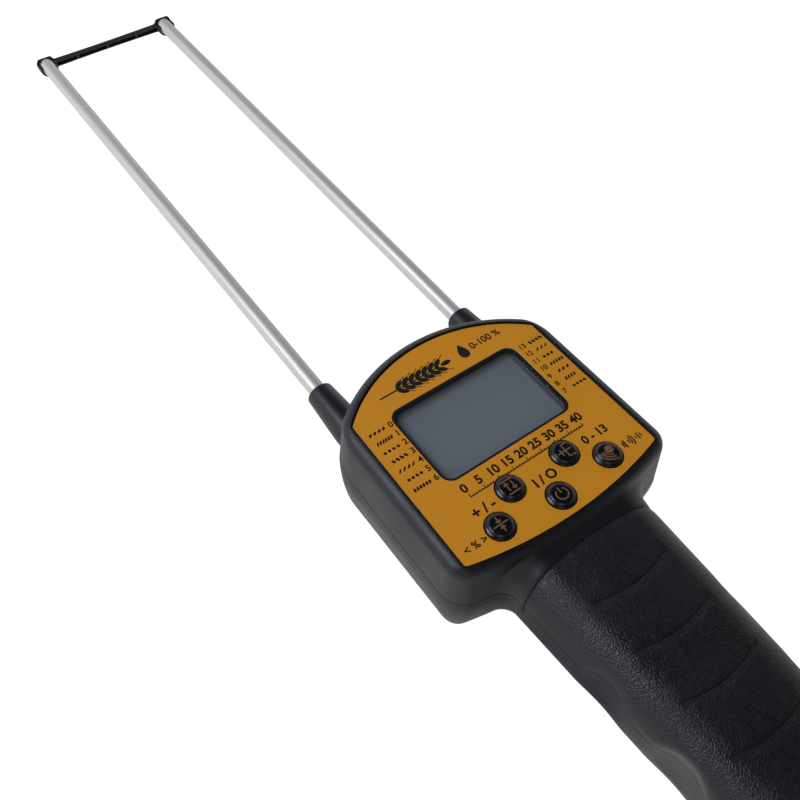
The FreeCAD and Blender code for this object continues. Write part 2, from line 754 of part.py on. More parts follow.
def make_battery_holder():
    half_x, half_y, half_z = BAY_HALF
    pieces = [
        box(-half_x, half_x, BAY_Y + half_y - BAY_END_WALL, BAY_Y + half_y, BAY_Z - half_z, BAY_Z + half_z),
        box(-half_x, half_x, BAY_Y - half_y, BAY_Y - half_y + BAY_END_WALL, BAY_Z - half_z, BAY_Z + half_z),
        box(-half_x, half_x, BAY_Y - half_y, BAY_Y + half_y, BAY_Z - 0.5, BAY_Z + 0.5),
    ]
    for x in (-half_x, half_x - 1.0):
        pieces.append(box(x, x + 1.0, BAY_Y - half_y, BAY_Y + half_y, BAY_Z - 7.0, BAY_Z + 7.0))
    return united(pieces)


def make_cell(index):
    x, z = CELL_PLACES[index]
    facing = cell_facing(index)
    body_half = CELL_LEN / 2 - 0.8
    can = rod_y(x, z, BAY_Y - body_half, BAY_Y + body_half, CELL_R)
    button_y = BAY_Y + body_half if facing > 0 else BAY_Y - CELL_LEN / 2
    return united([can, rod_y(x, z, button_y, button_y + 0.8, 1.9)])


def make_battery_springs():
    """Negative contacts: one coil spring between each cell and the holder's end wall."""
    springs = []
    body_half = CELL_LEN / 2 - 0.8
    length = BAY_HALF[1] - BAY_END_WALL - body_half
    rise = length - 2 * SPRING_WIRE_R - 0.2
    last = SPRING_TURNS * SPRING_CORNERS
    for index, (x, z) in enumerate(CELL_PLACES):
        low = BAY_Y - body_half - length if cell_facing(index) > 0 else BAY_Y + body_half
        start_y = low + SPRING_WIRE_R + 0.1
        route = []
        for step in range(last + 1):
            angle = 2 * math.pi * step / SPRING_CORNERS
            y = start_y + rise * step / last
            route.append((x + SPRING_R * math.cos(angle), y, z + SPRING_R * math.sin(angle)))
        springs.append(tube(route, SPRING_WIRE_R))
    return group(springs)


def make_battery_contacts():
    """Positive contacts: a plate with a raised pad against each cell's button."""
    contacts = []
    inner = BAY_HALF[1] - BAY_END_WALL
    button = CELL_LEN / 2
    for index, (x, z) in enumerate(CELL_PLACES):
        side = cell_facing(index)
        leaf_y = sorted((BAY_Y + side * inner, BAY_Y + side * (inner - 0.4)))
        pad_y = sorted((BAY_Y + side * button, BAY_Y + side * (inner - 0.4)))
        leaf = box(x - 4, x + 4, leaf_y[0], leaf_y[1], z - 4, z + 4)
        pad = rod_y(x, z, pad_y[0], pad_y[1], 1.5)
        contacts.append(united([leaf, pad]))
    return group(contacts)


def make_battery_wires():
    front = BAY_Y + BAY_HALF[1]
    wires = []
    for x, board_x in ((-4.0, -6.0), (4.0, 6.0)):
        route = [(x, front, 24.0), (x, front + 5, 24.0), (x + 0.5, front + 20, 28.5),
                 (board_x, -128.0, 29.5), (board_x, -119.0, 30.5), (board_x, -119.0, BOARD_BOTTOM)]
        wires.append(tube(route, 0.7))
    return group(wires)


def make_housing_screws():
    screws = []
    for x, y in HOUSING_SCREWS:
        head = rod_z(x, y, SCREW_SEAT_Z - 2.0, SCREW_SEAT_Z, SCREW_HEAD_R)
        cross = [box(x - 1.6, x + 1.6, y - 0.3, y + 0.3, 5, 7.2),
                 box(x - 0.3, x + 0.3, y - 1.6, y + 1.6, 5, 7.2)]
        screws.append(united([head.cut(cross), rod_z(x, y, SCREW_SEAT_Z, SCREW_TOP_Z, SCREW_R)]))
    return group(screws)


# ---- write every node ------------------------------------------------------------------------

save(make_upper_housing(), "upper_housing")
save(make_lower_housing(), "lower_housing")
save(make_battery_cover(), "battery_cover")
save(make_face_label(), "face_label")
save(make_display_window(), "display_window")
save(make_lcd_holder(), "lcd_holder")
save(make_lcd_glass(), "lcd_glass")
save(make_lcd_reflector(), "lcd_reflector")
save(make_zebra_strips(), "zebra_strips")
save(make_keypad_mat(), "keypad_mat")
for key, (key_x, key_y) in KEYS.items():
    save(make_key_cap(key_x, key_y), "key_" + key)
    save(make_key_pill(key_x, key_y), "pill_" + key)
    save(make_key_skirt(key_x, key_y), "skirt_" + key)
save(make_main_board(), "main_board")
save(make_controller_chip(), "controller_chip")
save(make_voice_chip(), "voice_chip")
save(make_crystal(), "crystal")
save(make_capacitors(), "capacitors")
save(make_board_screws(), "board_screws")
save(make_speaker_frame(), "speaker_frame")
save(make_speaker_cone(), "speaker_cone")
save(make_speaker_magnet(), "speaker_magnet")
save(make_speaker_wires(), "speaker_wires")
for side_name, side_x in (("left", -PROBE_X), ("right", PROBE_X)):
    save(make_collar(side_x), "probe_collar_" + side_name)
    save(make_rod(side_x), "probe_rod_" + side_name)
save(make_probe_terminals(), "probe_terminals")
save(make_probe_nuts(), "probe_nuts")
save(make_probe_wires(), "probe_wires")
save(make_tip_spacer(), "tip_spacer")
save(make_battery_holder(), "battery_holder")
for cell_index in range(len(CELL_PLACES)):
    save(make_cell(cell_index), "battery_cell_" + str(cell_index + 1))
save(make_battery_springs(), "battery_springs")
save(make_battery_contacts(), "battery_contacts")
save(make_battery_wires(), "battery_wires")
save(make_housing_screws(), "housing_screws")
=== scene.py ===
import json
import math

import bmesh
import bpy
import numpy as np
from mathutils import Euler, Matrix, Vector


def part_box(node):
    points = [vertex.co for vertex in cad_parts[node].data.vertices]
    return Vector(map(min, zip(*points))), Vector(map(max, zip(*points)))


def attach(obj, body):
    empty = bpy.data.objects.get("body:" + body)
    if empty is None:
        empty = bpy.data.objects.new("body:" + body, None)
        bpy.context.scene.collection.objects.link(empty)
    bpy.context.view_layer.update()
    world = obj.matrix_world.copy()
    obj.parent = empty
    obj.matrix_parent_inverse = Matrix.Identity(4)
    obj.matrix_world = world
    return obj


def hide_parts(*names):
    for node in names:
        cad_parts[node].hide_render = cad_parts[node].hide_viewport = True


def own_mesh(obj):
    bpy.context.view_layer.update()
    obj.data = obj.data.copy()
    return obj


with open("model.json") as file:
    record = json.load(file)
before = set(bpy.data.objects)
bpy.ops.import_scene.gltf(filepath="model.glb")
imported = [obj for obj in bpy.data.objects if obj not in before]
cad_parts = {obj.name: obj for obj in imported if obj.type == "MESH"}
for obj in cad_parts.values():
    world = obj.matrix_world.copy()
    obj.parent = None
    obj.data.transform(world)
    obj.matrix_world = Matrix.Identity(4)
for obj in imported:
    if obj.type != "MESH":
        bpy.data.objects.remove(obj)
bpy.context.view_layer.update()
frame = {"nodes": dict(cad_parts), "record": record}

# Grain moisture meter. Shapes are worked out in millimetres and turned into metres by MM.
MM = 0.001


# ---- places and sizes from the frame ---------------------------------------------------------

def corners(node):
    """Lowest and highest corner of a CAD node, in millimetres."""
    low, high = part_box(node)
    return [value / MM for value in low], [value / MM for value in high]


UPPER_LOW, UPPER_HIGH = corners("upper_housing")
LABEL_LOW, LABEL_HIGH = corners("face_label")
PANE_LOW, PANE_HIGH = corners("display_window")
ROD_LOW, ROD_HIGH = corners("probe_rod_right")
COLLAR_LOW, COLLAR_HIGH = corners("probe_collar_right")
SPACER_LOW, SPACER_HIGH = corners("tip_spacer")
KEY_NAMES = ("power", "limit", "adjust", "varieties", "voice")

PARTING_Z = UPPER_LOW[2]
TOP_Z = LABEL_HIGH[2] + 0.4
END_Y = UPPER_LOW[1]
HEAD_HALF = UPPER_HIGH[0]
LABEL_TOP = LABEL_HIGH[2]
LABEL_FLOOR = LABEL_LOW[2]
LABEL_HALF = LABEL_HIGH[0]
PROBE_X = (ROD_LOW[0] + ROD_HIGH[0]) / 2
PROBE_Z = (ROD_LOW[2] + ROD_HIGH[2]) / 2
WIDE_Z = PROBE_Z
ROD_R = (ROD_HIGH[0] - ROD_LOW[0]) / 2
TIP_Y = SPACER_HIGH[1]
WINDOW_Y = (PANE_LOW[1] + PANE_HIGH[1]) / 2
WALL = 2.2

# Tip spacer: the bar's lowest and highest surface are measured from the probes' axes
CUP_R = 4.6
BAR_LOW = -2.6
BAR_HIGH = 1.2
BAR_DEPTH = 2.4
BAR_WAIST = 0.3
BAR_WALL = 0.75
END_WALL = 1.0
RIB_HALF = 0.5


def key_centre(name):
    low, high = corners("key_" + name)
    return (low[0] + high[0]) / 2, (low[1] + high[1]) / 2


KEYS = {name: key_centre(name) for name in KEY_NAMES}

# Face label: front and rear arcs through its corners
FRONT_RISE = 16.4
REAR_RISE = 5.2


def arc_radius(half_chord, rise):
    return (half_chord ** 2 + rise ** 2) / (2 * rise)


FRONT_R = arc_radius(LABEL_HALF, FRONT_RISE)
REAR_R = arc_radius(LABEL_HALF, REAR_RISE)
FRONT_CY = LABEL_HIGH[1] - FRONT_R
REAR_CY = LABEL_LOW[1] + REAR_R
LABEL_CORNER = 1.4
LABEL_NARROW = 0.9
LABEL_FRONT_Y = -55.5
LABEL_REAR_Y = -116.2
LABEL_GAP = 0.7
WINDOW_HALF = (27.0, 16.9)
WINDOW_CORNER = 4.4
SIGHT_HALF = (26.0, 15.9)
SIGHT_CORNER = 3.6
KEY_HOLE_R = 5.3

# Head
FRONT_GROW = 6.2
REAR_GROW = 5.3
HEAD_CORNER = 7.0
HEAD_DRAFT = 2.0
RIM_ROUND = 4.0
BACK_ROUND = 10.0

# Grip
GRIP_FRONT_Y = -129.0
GRIP_REAR_Y = -212.0
GRIP_HALF_FRONT = 27.6
GRIP_HALF_REAR = 24.0
GRIP_TOP = WIDE_Z + 18.0
GRIP_CROWN = 0.6
GRIP_TOP_ROUND = 12.5
GRIP_BACK_ROUND = 20.0
GRIP_END_ROUND = 11.0
GRIP_START_Y = -112.0
GRAIN_LINE_BOW = 2.6
NECK_RISE = 1.5
NECK_FILLET = 4.6
NECK_FILLET_LOSS = 3.0
CAVITY_FILLET = 3.0
GROOVE_DEPTH = 0.3
GROOVE_SPREAD = 1.2
GROOVE_YS = (-148.8, -166.8, -184.8, -202.7)
GROOVE_R = 42.0
GROOVE_HALF = 15.0
SCALLOP_YS = (-166.0, -195.5)
SCALLOP_DEPTH = 3.8
SCALLOP_SEMI = (8.0, 11.9, 24.0)
SCALLOP_Z = 20.0
SCALLOP_ROUND = 1.3
SEAM_GAP = 0.34


# ---- smooth fields: negative inside, millimetres ---------------------------------------------

def round_max(a, b, radius):
    """What lies inside both fields, with the edge between them rounded."""
    corner = np.hypot(np.maximum(a + radius, 0), np.maximum(b + radius, 0))
    return np.minimum(np.maximum(a, b), -radius) + corner


def round_min(a, b, radius):
    """What lies inside either field, with a fillet between them."""
    return -round_max(-a, -b, radius)


def ramp(value, start, end):
    """Smooth rise from 0 at start to 1 at end."""
    share = np.clip((value - start) / (end - start), 0, 1)
    return share * share * (3 - 2 * share)


def head_field(x, y, z, inset):
    """Head: drafted above its widest height and rounded towards the back."""
    forward = np.clip((y - LABEL_REAR_Y) / (LABEL_FRONT_Y - LABEL_REAR_Y), 0, 1.2)
    raised = np.clip((z - WIDE_Z) / (TOP_Z - WIDE_Z), 0, 1)
    across = np.abs(x) - (HEAD_HALF - inset) + LABEL_NARROW * forward * raised
    front = np.hypot(x, y - FRONT_CY) - (FRONT_R + FRONT_GROW - inset)
    rear = np.hypot(x, y - REAR_CY) - (REAR_R + REAR_GROW - inset)
    plan = round_max(across, np.maximum(front, rear), HEAD_CORNER)
    drafted = plan + HEAD_DRAFT * (z - WIDE_Z) / (TOP_Z - WIDE_Z)
    upper = round_max(drafted, z - (TOP_Z - inset), RIM_ROUND)
    rounding = BACK_ROUND - inset
    out = np.maximum((plan + rounding) / rounding, 0)
    down = np.maximum((WIDE_Z - z) / (WIDE_Z - inset), 0)
    lower = (np.hypot(out, down) - 1) * rounding
    return np.where(z > WIDE_Z, upper, lower)


def grip_half(y):
    share = (y - GRIP_FRONT_Y) / (GRIP_REAR_Y - GRIP_FRONT_Y)
    return GRIP_HALF_FRONT + share * (GRIP_HALF_REAR - GRIP_HALF_FRONT)


def grip_field(x, y, z, inset):
    """Grip: tapers towards its end, with a slightly crowned top."""
    side = np.abs(x) - (grip_half(y) - inset)
    crown = GRIP_CROWN * (1 - np.clip(np.abs(x) / GROOVE_HALF, 0, 1) ** 2)
    upper = round_max(side, z - (GRIP_TOP + crown - inset), GRIP_TOP_ROUND - inset)
    rounding = GRIP_BACK_ROUND - inset
    out = np.maximum((side + rounding) / rounding, 0)
    down = np.maximum((WIDE_Z - z) / (WIDE_Z - inset), 0)
    lower = (np.hypot(out, down) - 1) * rounding
    section = np.where(z > WIDE_Z, upper, lower)
    closed = round_max(section, END_Y + inset - y, GRIP_END_ROUND - inset)
    return np.maximum(closed, y - GRIP_START_Y)


def scallop_field(x, y, z, grow):
    """Ellipsoids that hollow the finger scallops out of both sides."""
    semi = [length + grow for length in SCALLOP_SEMI]
    nearest = np.full(x.shape, 99.0)
    for centre_y in SCALLOP_YS:
        centre_x = grip_half(centre_y) + SCALLOP_SEMI[0] - SCALLOP_DEPTH
        far = np.sqrt(((np.abs(x) - centre_x) / semi[0]) ** 2 + ((y - centre_y) / semi[1]) ** 2
                      + ((z - SCALLOP_Z) / semi[2]) ** 2)
        nearest = np.minimum(nearest, (far - 1) * semi[0])
    return nearest


def grain_line(x):
    """Where the grained part of the grip starts, bowed across the grip."""
    return GRIP_FRONT_Y - GRAIN_LINE_BOW * (x / GRIP_HALF_FRONT) ** 2


def groove_distance(x, y):
    """Signed distance behind the nearest curved groove or the line at the start of the grain."""
    nearest = y - grain_line(x)
    beyond = 4 * ramp(np.abs(x), GROOVE_HALF - 1, GROOVE_HALF + 3)
    for groove_y in GROOVE_YS:
        along = y - groove_y - GROOVE_R + np.sqrt(np.maximum(GROOVE_R ** 2 - x ** 2, 1))
        along = along + np.sign(along) * beyond
        nearest = np.where(np.abs(along) < np.abs(nearest), along, nearest)
    return nearest


def grip_relief(x, y, z):
    """How far the surface is sunk along the grooves and at the start of the grain."""
    valley = np.exp(-((groove_distance(x, y) + 0.5) / GROOVE_SPREAD) ** 2)
    return GROOVE_DEPTH * valley * ramp(z, WIDE_Z - 0.5, WIDE_Z + 0.5)


def neck_rise(x, y, z):
    """How far the smooth neck climbs from the grain towards the head."""
    return NECK_RISE * ramp(y - grain_line(x), 0.5, 11) * ramp(z, WIDE_Z + 4, WIDE_Z + 14)


def body_field(x, y, z):
    """Outside of the whole housing."""
    head = head_field(x, y, z, 0)
    grip = grip_field(x, y, z, 0) - neck_rise(x, y, z)
    fillet = NECK_FILLET - NECK_FILLET_LOSS * ramp(z, WIDE_Z + 8, TOP_Z - 4)
    whole = np.maximum(round_min(head, grip, fillet), -z)
    whole = round_max(whole, -scallop_field(x, y, z, 0), SCALLOP_ROUND)
    return whole + grip_relief(x, y, z)


def cavity_field(x, y, z):
    """Hollow inside the housing, a wall's thickness in from its surface."""
    whole = round_min(head_field(x, y, z, WALL), grip_field(x, y, z, WALL), CAVITY_FILLET)
    whole = np.maximum(whole, WALL - z)
    return np.maximum(whole, -scallop_field(x, y, z, WALL))


def spacer_field(x, y, z):
    """Channel bar between the probe tips, with three ribs and an open half cup under each tip."""
    high = z - PROBE_Z
    along = y - TIP_Y
    middle = (BAR_LOW + BAR_HIGH) / 2
    half = (BAR_HIGH - BAR_LOW) / 2
    waist = BAR_WAIST * np.cos(np.clip(x / PROBE_X, -1, 1) * math.pi / 2)
    beam = round_max(np.abs(high - middle) - half + waist, np.abs(along + BAR_DEPTH / 2) - BAR_DEPTH / 2, 0.3)
    pocket = np.maximum(np.abs(high - middle) - half + waist + BAR_WALL, along + END_WALL)
    ribs = np.minimum(np.abs(x) - RIB_HALF, np.abs(np.abs(x) - PROBE_X / 2) - RIB_HALF)
    channel = round_max(beam, -np.maximum(pocket, -ribs), 0.15)
    channel = np.maximum(channel, np.abs(x) - PROBE_X)
    far = np.hypot(np.abs(x) - PROBE_X, high)
    length = SPACER_HIGH[1] - SPACER_LOW[1]
    cup = round_max(far - CUP_R, np.abs(along + length / 2) - length / 2, 0.5)
    whole = round_min(channel, cup, 0.8)
    top = np.where(along > -END_WALL, ROD_R, BAR_HIGH)
    whole = round_max(whole, high - top, 0.3)
    bore = np.maximum(far - ROD_R, along + END_WALL)
    return np.maximum(whole, -bore)


# ---- meshing ---------------------------------------------------------------------------------

CELL_CORNERS = [(i, j, k) for i in (0, 1) for j in (0, 1) for k in (0, 1)]
CELL_EDGES = [(a, b) for a in CELL_CORNERS for b in CELL_CORNERS
              if a < b and sum(abs(p - q) for p, q in zip(a, b)) == 1]


def field_surface(field, low, high, step):
    """Closed quad mesh of the field's zero surface, with every vertex moved onto it."""
    axes = [np.arange(low[i] - 2 * step, high[i] + 2.5 * step, step) + 0.013 for i in range(3)]
    grid = np.meshgrid(*axes, indexing="ij")
    value = field(*grid)
    inside = value < 0
    cells = tuple(length - 1 for length in value.shape)

    def corner_of(array, corner):
        return array[tuple(slice(c, c + n) for c, n in zip(corner, cells))]

    total = np.zeros(cells + (3,))
    count = np.zeros(cells)
    for a, b in CELL_EDGES:
        value_a = corner_of(value, a)
        value_b = corner_of(value, b)
        crossed = corner_of(inside, a) != corner_of(inside, b)
        gap = np.where(crossed, value_a - value_b, 1)
        share = np.where(crossed, value_a / gap, 0)
        for axis in range(3):
            total[..., axis] += np.where(crossed, a[axis] + share * (b[axis] - a[axis]), 0)
        count += crossed
    used = count > 0
    index = np.full(cells, -1)
    index[used] = np.arange(used.sum())
    origin = np.array([axis[0] for axis in axes])
    points = origin + (np.argwhere(used) + total[used] / count[used][:, None]) * step

    quads = []
    for axis in range(3):
        one, two = [other for other in range(3) if other != axis]
        start = tuple(slice(0, -1) if i == axis else slice(1, -1) for i in range(3))
        end = tuple(slice(1, None) if i == axis else slice(1, -1) for i in range(3))
        before = inside[start]
        after = inside[end]
        for flip, crossing in ((False, before & ~after), (True, ~before & after)):
            place = np.argwhere(crossing)
            place[:, one] += 1
            place[:, two] += 1
            around = []
            for back_one, back_two in ((1, 1), (0, 1), (0, 0), (1, 0)):
                cell = place.copy()
                cell[:, one] -= back_one
                cell[:, two] -= back_two
                around.append(index[cell[:, 0], cell[:, 1], cell[:, 2]])
            quad = np.stack(around, axis=1)
            if flip != (axis == 1):
                quad = quad[:, ::-1]
            quads.append(quad)
    return settle(field, points, step), np.concatenate(quads)


def slope(field, points):
    """Gradient of the field at each point."""
    small = 0.04
    parts = []
    for axis in range(3):
        nudge = np.zeros(3)
        nudge[axis] = small
        parts.append(field(*(points + nudge).T) - field(*(points - nudge).T))
    return np.stack(parts, axis=1) / (2 * small)


def settle(field, points, step):
    """Moves each point onto the field's zero surface."""
    for _ in range(4):
        value = field(*points.T)
        gradient = slope(field, points)
        steep = np.maximum((gradient ** 2).sum(axis=1), 0.05)
        move = gradient * (value / steep)[:, None]
        length = np.linalg.norm(move, axis=1)
        limit = np.minimum(1, 0.5 * step / np.maximum(length, 1e-9))
        points = points - move * limit[:, None]
    return points


def new_object(name, points, faces):
    """Object from points in millimetres."""
    mesh = bpy.data.meshes.new(name)
    mesh.from_pydata([tuple(p) for p in np.asarray(points) * MM], [], [list(map(int, f)) for f in faces])
    mesh.validate()
    made = bpy.data.objects.new(name, mesh)
    bpy.context.scene.collection.objects.link(made)
    return made


def prism(name, outline, z0, z1):
    """Closed block between two heights over a plan outline that runs anticlockwise."""
    n = len(outline)
    points = [(x, y, z0) for x, y in outline] + [(x, y, z1) for x, y in outline]
    faces = [list(range(n))[::-1], list(range(n, 2 * n))]
    faces += [[i, (i + 1) % n, n + (i + 1) % n, n + i] for i in range(n)]
    return new_object(name, points, faces)


def block(name, x0, x1, y0, y1, z0, z1):
    return prism(name, [(x0, y0), (x1, y0), (x1, y1), (x0, y1)], z0, z1)


def circle(x, y, radius, steps=48):
    return [(x + radius * math.cos(2 * math.pi * i / steps), y + radius * math.sin(2 * math.pi * i / steps))
            for i in range(steps)]


def rounded_box(half, corner, centre_y, steps=8):
    points = []
    for turn, (sx, sy) in enumerate(((1, 1), (-1, 1), (-1, -1), (1, -1))):
        for step in range(steps + 1):
            angle = math.pi / 2 * (turn + step / steps)
            points.append((sx * (half[0] - corner) + corner * math.cos(angle),
                           centre_y + sy * (half[1] - corner) + corner * math.sin(angle)))
    return points


def label_outline(grow, corner):
    """Plan outline of the label, grown outwards, anticlockwise, with rounded corners."""
    front_r = FRONT_R + grow
    rear_r = REAR_R + grow
    x_f = LABEL_HALF + grow - LABEL_NARROW - corner
    x_r = LABEL_HALF + grow - corner
    y_f = FRONT_CY + math.sqrt((front_r - corner) ** 2 - x_f ** 2)
    y_r = REAR_CY - math.sqrt((rear_r - corner) ** 2 - x_r ** 2)
    front_turn = math.atan2(y_f - FRONT_CY, x_f)
    rear_turn = math.atan2(y_r - REAR_CY, x_r)
    right = []
    for step in range(9):
        angle = rear_turn * (1 - step / 8)
        right.append((x_r + corner * math.cos(angle), y_r + corner * math.sin(angle)))
    for step in range(9):
        angle = front_turn * step / 8
        right.append((x_f + corner * math.cos(angle), y_f + corner * math.sin(angle)))
    front = []
    for step in range(1, 48):
        angle = front_turn + (math.pi - 2 * front_turn) * step / 48
        front.append((front_r * math.cos(angle), FRONT_CY + front_r * math.sin(angle)))
    left = [(-x, y) for x, y in right[::-1]]
    rear = []
    for step in range(1, 48):
        angle = math.pi - rear_turn + (math.pi + 2 * rear_turn) * step / 48
        rear.append((rear_r * math.cos(angle), REAR_CY + rear_r * math.sin(angle)))
    return right + front + left + rear


def turned(name, profile, steps=64):
    """Solid of revolution about +Z. profile is (radius, height), from the axis to the axis or round a ring."""
    points = []
    rings = []
    for radius, height in profile:
        if radius < 1e-6:
            rings.append([len(points)])
            points.append((0, 0, height))
            continue
        rings.append(list(range(len(points), len(points) + steps)))
        points += [(x, y, height) for x, y in circle(0, 0, radius, steps)]
    faces = []
    for low, high in zip(rings, rings[1:]):
        for i in range(steps):
            j = (i + 1) % steps
            face = [low[i % len(low)], low[j % len(low)], high[j % len(high)], high[i % len(high)]]
            faces.append(list(dict.fromkeys(face)))
    return new_object(name, points, faces)


def rounded_profile(points, radius, steps=5):
    """Profile with every corner but its two ends rounded."""
    result = [points[0]]
    for before, here, after in zip(points, points[1:], points[2:]):
        a = Vector(before) - Vector(here)
        b = Vector(after) - Vector(here)
        cut = min(radius, 0.45 * a.length, 0.45 * b.length)
        first = Vector(here) + a.normalized() * cut
        last = Vector(here) + b.normalized() * cut
        for step in range(steps + 1):
            t = step / steps
            point = first * (1 - t) ** 2 + Vector(here) * 2 * t * (1 - t) + last * t * t
            result.append(tuple(point))
    result.append(points[-1])
    return result


def set_place(obj, matrix):
    obj.data.transform(matrix)
    if matrix.is_negative:
        obj.data.flip_normals()
    return obj


def moved(obj, x, y, z):
    return set_place(obj, Matrix.Translation(Vector((x, y, z)) * MM))


def along_y(obj):
    """Turns a shape made along +Z so that it runs along +Y."""
    return set_place(obj, Matrix.Rotation(-math.pi / 2, 4, "X"))


def drop(*objects):
    for obj in objects:
        bpy.data.objects.remove(obj)


def carved(target, operation, *tools):
    """Applies booleans to target and removes the tools."""
    for tool in tools:
        cut = target.modifiers.new("cut", "BOOLEAN")
        cut.operation = operation
        cut.solver = "MANIFOLD"
        cut.object = tool
    bpy.context.view_layer.update()
    graph = bpy.context.evaluated_depsgraph_get()
    mesh = bpy.data.meshes.new_from_object(target.evaluated_get(graph))
    target.modifiers.clear()
    target.data = mesh
    drop(*tools)
    return target


def copy_of(obj, name):
    made = obj.copy()
    made.data = obj.data.copy()
    made.name = name
    bpy.context.scene.collection.objects.link(made)
    return made


def joined(name, objects):
    work = bmesh.new()
    for obj in objects:
        work.from_mesh(obj.data)
    mesh = bpy.data.meshes.new(name)
    work.to_mesh(mesh)
    work.free()
    drop(*objects)
    made = bpy.data.objects.new(name, mesh)
    bpy.context.scene.collection.objects.link(made)
    return made


def smoothed(obj, degrees=35):
    obj.data.shade_smooth()
    obj.data.set_sharp_from_angle(angle=math.radians(degrees))
    return obj


# ---- materials -------------------------------------------------------------------------------

def material(name, colour, roughness, metallic=0.0):
    made = bpy.data.materials.new(name)
    made.use_nodes = True
    shader = made.node_tree.nodes["Principled BSDF"]
    shader.inputs["Base Color"].default_value = (*colour, 1)
    shader.inputs["Roughness"].default_value = roughness
    shader.inputs["Metallic"].default_value = metallic
    return made, made.node_tree, shader


def node(tree, kind, **values):
    made = tree.nodes.new(kind)
    for name, value in values.items():
        if name in made.inputs:
            made.inputs[name].default_value = value
        else:
            setattr(made, name, value)
    return made


def place_of(tree, scale=(1, 1, 1)):
    coordinates = node(tree, "ShaderNodeTexCoord")
    mapping = node(tree, "ShaderNodeMapping", Scale=scale)
    tree.links.new(coordinates.outputs["Object"], mapping.inputs["Vector"])
    return mapping.outputs["Vector"]


def noise(tree, vector, scale, detail=3.0):
    made = node(tree, "ShaderNodeTexNoise", Scale=scale, Detail=detail)
    tree.links.new(vector, made.inputs["Vector"])
    return made.outputs["Fac"]


def mapped(tree, value, low, high, to_low, to_high):
    made = tree.nodes.new("ShaderNodeMapRange")
    for name, number in (("From Min", low), ("From Max", high), ("To Min", to_low), ("To Max", to_high)):
        made.inputs[name].default_value = number
    tree.links.new(value, made.inputs["Value"])
    return made.outputs["Result"]


def combined(tree, operation, a, b):
    made = node(tree, "ShaderNodeMath", operation=operation)
    for socket, value in zip(made.inputs, (a, b)):
        if isinstance(value, (int, float)):
            socket.default_value = value
        else:
            tree.links.new(value, socket)
    return made.outputs["Value"]


def add_bump(tree, shader, height, strength, distance):
    bump = node(tree, "ShaderNodeBump", Strength=strength, Distance=distance)
    tree.links.new(height, bump.inputs["Height"])
    tree.links.new(bump.outputs["Normal"], shader.inputs["Normal"])


def colour_mix(tree, factor, first, second):
    mix = tree.nodes.new("ShaderNodeMix")
    mix.data_type = "RGBA"
    sockets = [socket for socket in mix.inputs if socket.type == "RGBA"]
    for socket, colour in zip(sockets, (first, second)):
        if isinstance(colour, tuple):
            socket.default_value = (*colour, 1)
        else:
            tree.links.new(colour, socket)
    tree.links.new(factor, mix.inputs[0])
    return [socket for socket in mix.outputs if socket.type == "RGBA"][0]


LCD_BORDER_X = 25.2


def housing_material():
    """Black moulded plastic: fine spark texture, leather grain where the grain attribute says, and painted
    shade in the grooves (less specular in their valleys).
    """
    made, tree, shader = material("housing_black", (0.0095, 0.0095, 0.0105), 0.42)
    place = place_of(tree)
    spark = noise(tree, place, 1700, 2)
    warp = noise(tree, place, 420, 2)
    cells = node(tree, "ShaderNodeTexVoronoi", feature="DISTANCE_TO_EDGE", Scale=1050.0, Randomness=1.0)
    shift = node(tree, "ShaderNodeVectorMath", operation="SCALE", Scale=0.0011)
    lift = node(tree, "ShaderNodeVectorMath", operation="ADD")
    tint = node(tree, "ShaderNodeTexNoise", Scale=420.0, Detail=2.0)
    tree.links.new(place, tint.inputs["Vector"])
    tree.links.new(tint.outputs["Color"], shift.inputs[0])
    tree.links.new(place, lift.inputs[0])
    tree.links.new(shift.outputs[0], lift.inputs[1])
    tree.links.new(lift.outputs[0], cells.inputs["Vector"])
    leather = mapped(tree, cells.outputs["Distance"], 0.0, 0.28, 0.0, 0.5)
    leather = combined(tree, "ADD", leather, combined(tree, "MULTIPLY", warp, 0.35))
    grain = node(tree, "ShaderNodeAttribute", attribute_name="grain")
    grained = combined(tree, "MULTIPLY", leather, grain.outputs["Fac"])
    smooth = combined(tree, "SUBTRACT", 1.0, grain.outputs["Fac"])
    fine = combined(tree, "MULTIPLY", combined(tree, "MULTIPLY", spark, 0.55), smooth)
    groove = node(tree, "ShaderNodeAttribute", attribute_name="groove")
    offset = combined(tree, "ABSOLUTE", groove.outputs["Fac"], 0.0)
    valley = mapped(tree, offset, 0.0, 0.5, 1.0, 0.0)
    texture = combined(tree, "ADD", grained, fine)
    height = combined(tree, "SUBTRACT", texture, combined(tree, "MULTIPLY", valley, 1.6))
    add_bump(tree, shader, height, 0.7, 0.00022)
    # Painted shade: the specular level drops from 0.5 to 0.15 in the groove valleys, so the grooves read as
    # dark lines.
    tree.links.new(mapped(tree, valley, 0.0, 1.0, 0.5, 0.15), shader.inputs["Specular IOR Level"])
    worn = mapped(tree, noise(tree, place, 60, 3), 0.35, 0.7, 0.38, 0.5)
    tree.links.new(worn, shader.inputs["Roughness"])
    return made


def plain_plastic(name, colour, roughness, texture_scale=1800, strength=0.12):
    made, tree, shader = material(name, colour, roughness)
    place = place_of(tree)
    add_bump(tree, shader, noise(tree, place, texture_scale, 2), strength, 0.0001)
    spread = mapped(tree, noise(tree, place, 90, 3), 0.3, 0.7, roughness * 0.85, min(1, roughness * 1.15))
    tree.links.new(spread, shader.inputs["Roughness"])
    return made


def label_material():
    made, tree, shader = material("label_amber", (0.86, 0.355, 0.017), 0.4)
    place = place_of(tree)
    tone = mapped(tree, noise(tree, place, 40, 3), 0.3, 0.7, 0, 1)
    amber = colour_mix(tree, tone, (0.83, 0.343, 0.016), (0.89, 0.367, 0.018))
    tree.links.new(amber, shader.inputs["Base Color"])
    add_bump(tree, shader, noise(tree, place, 3200, 2), 0.08, 0.00006)
    return made


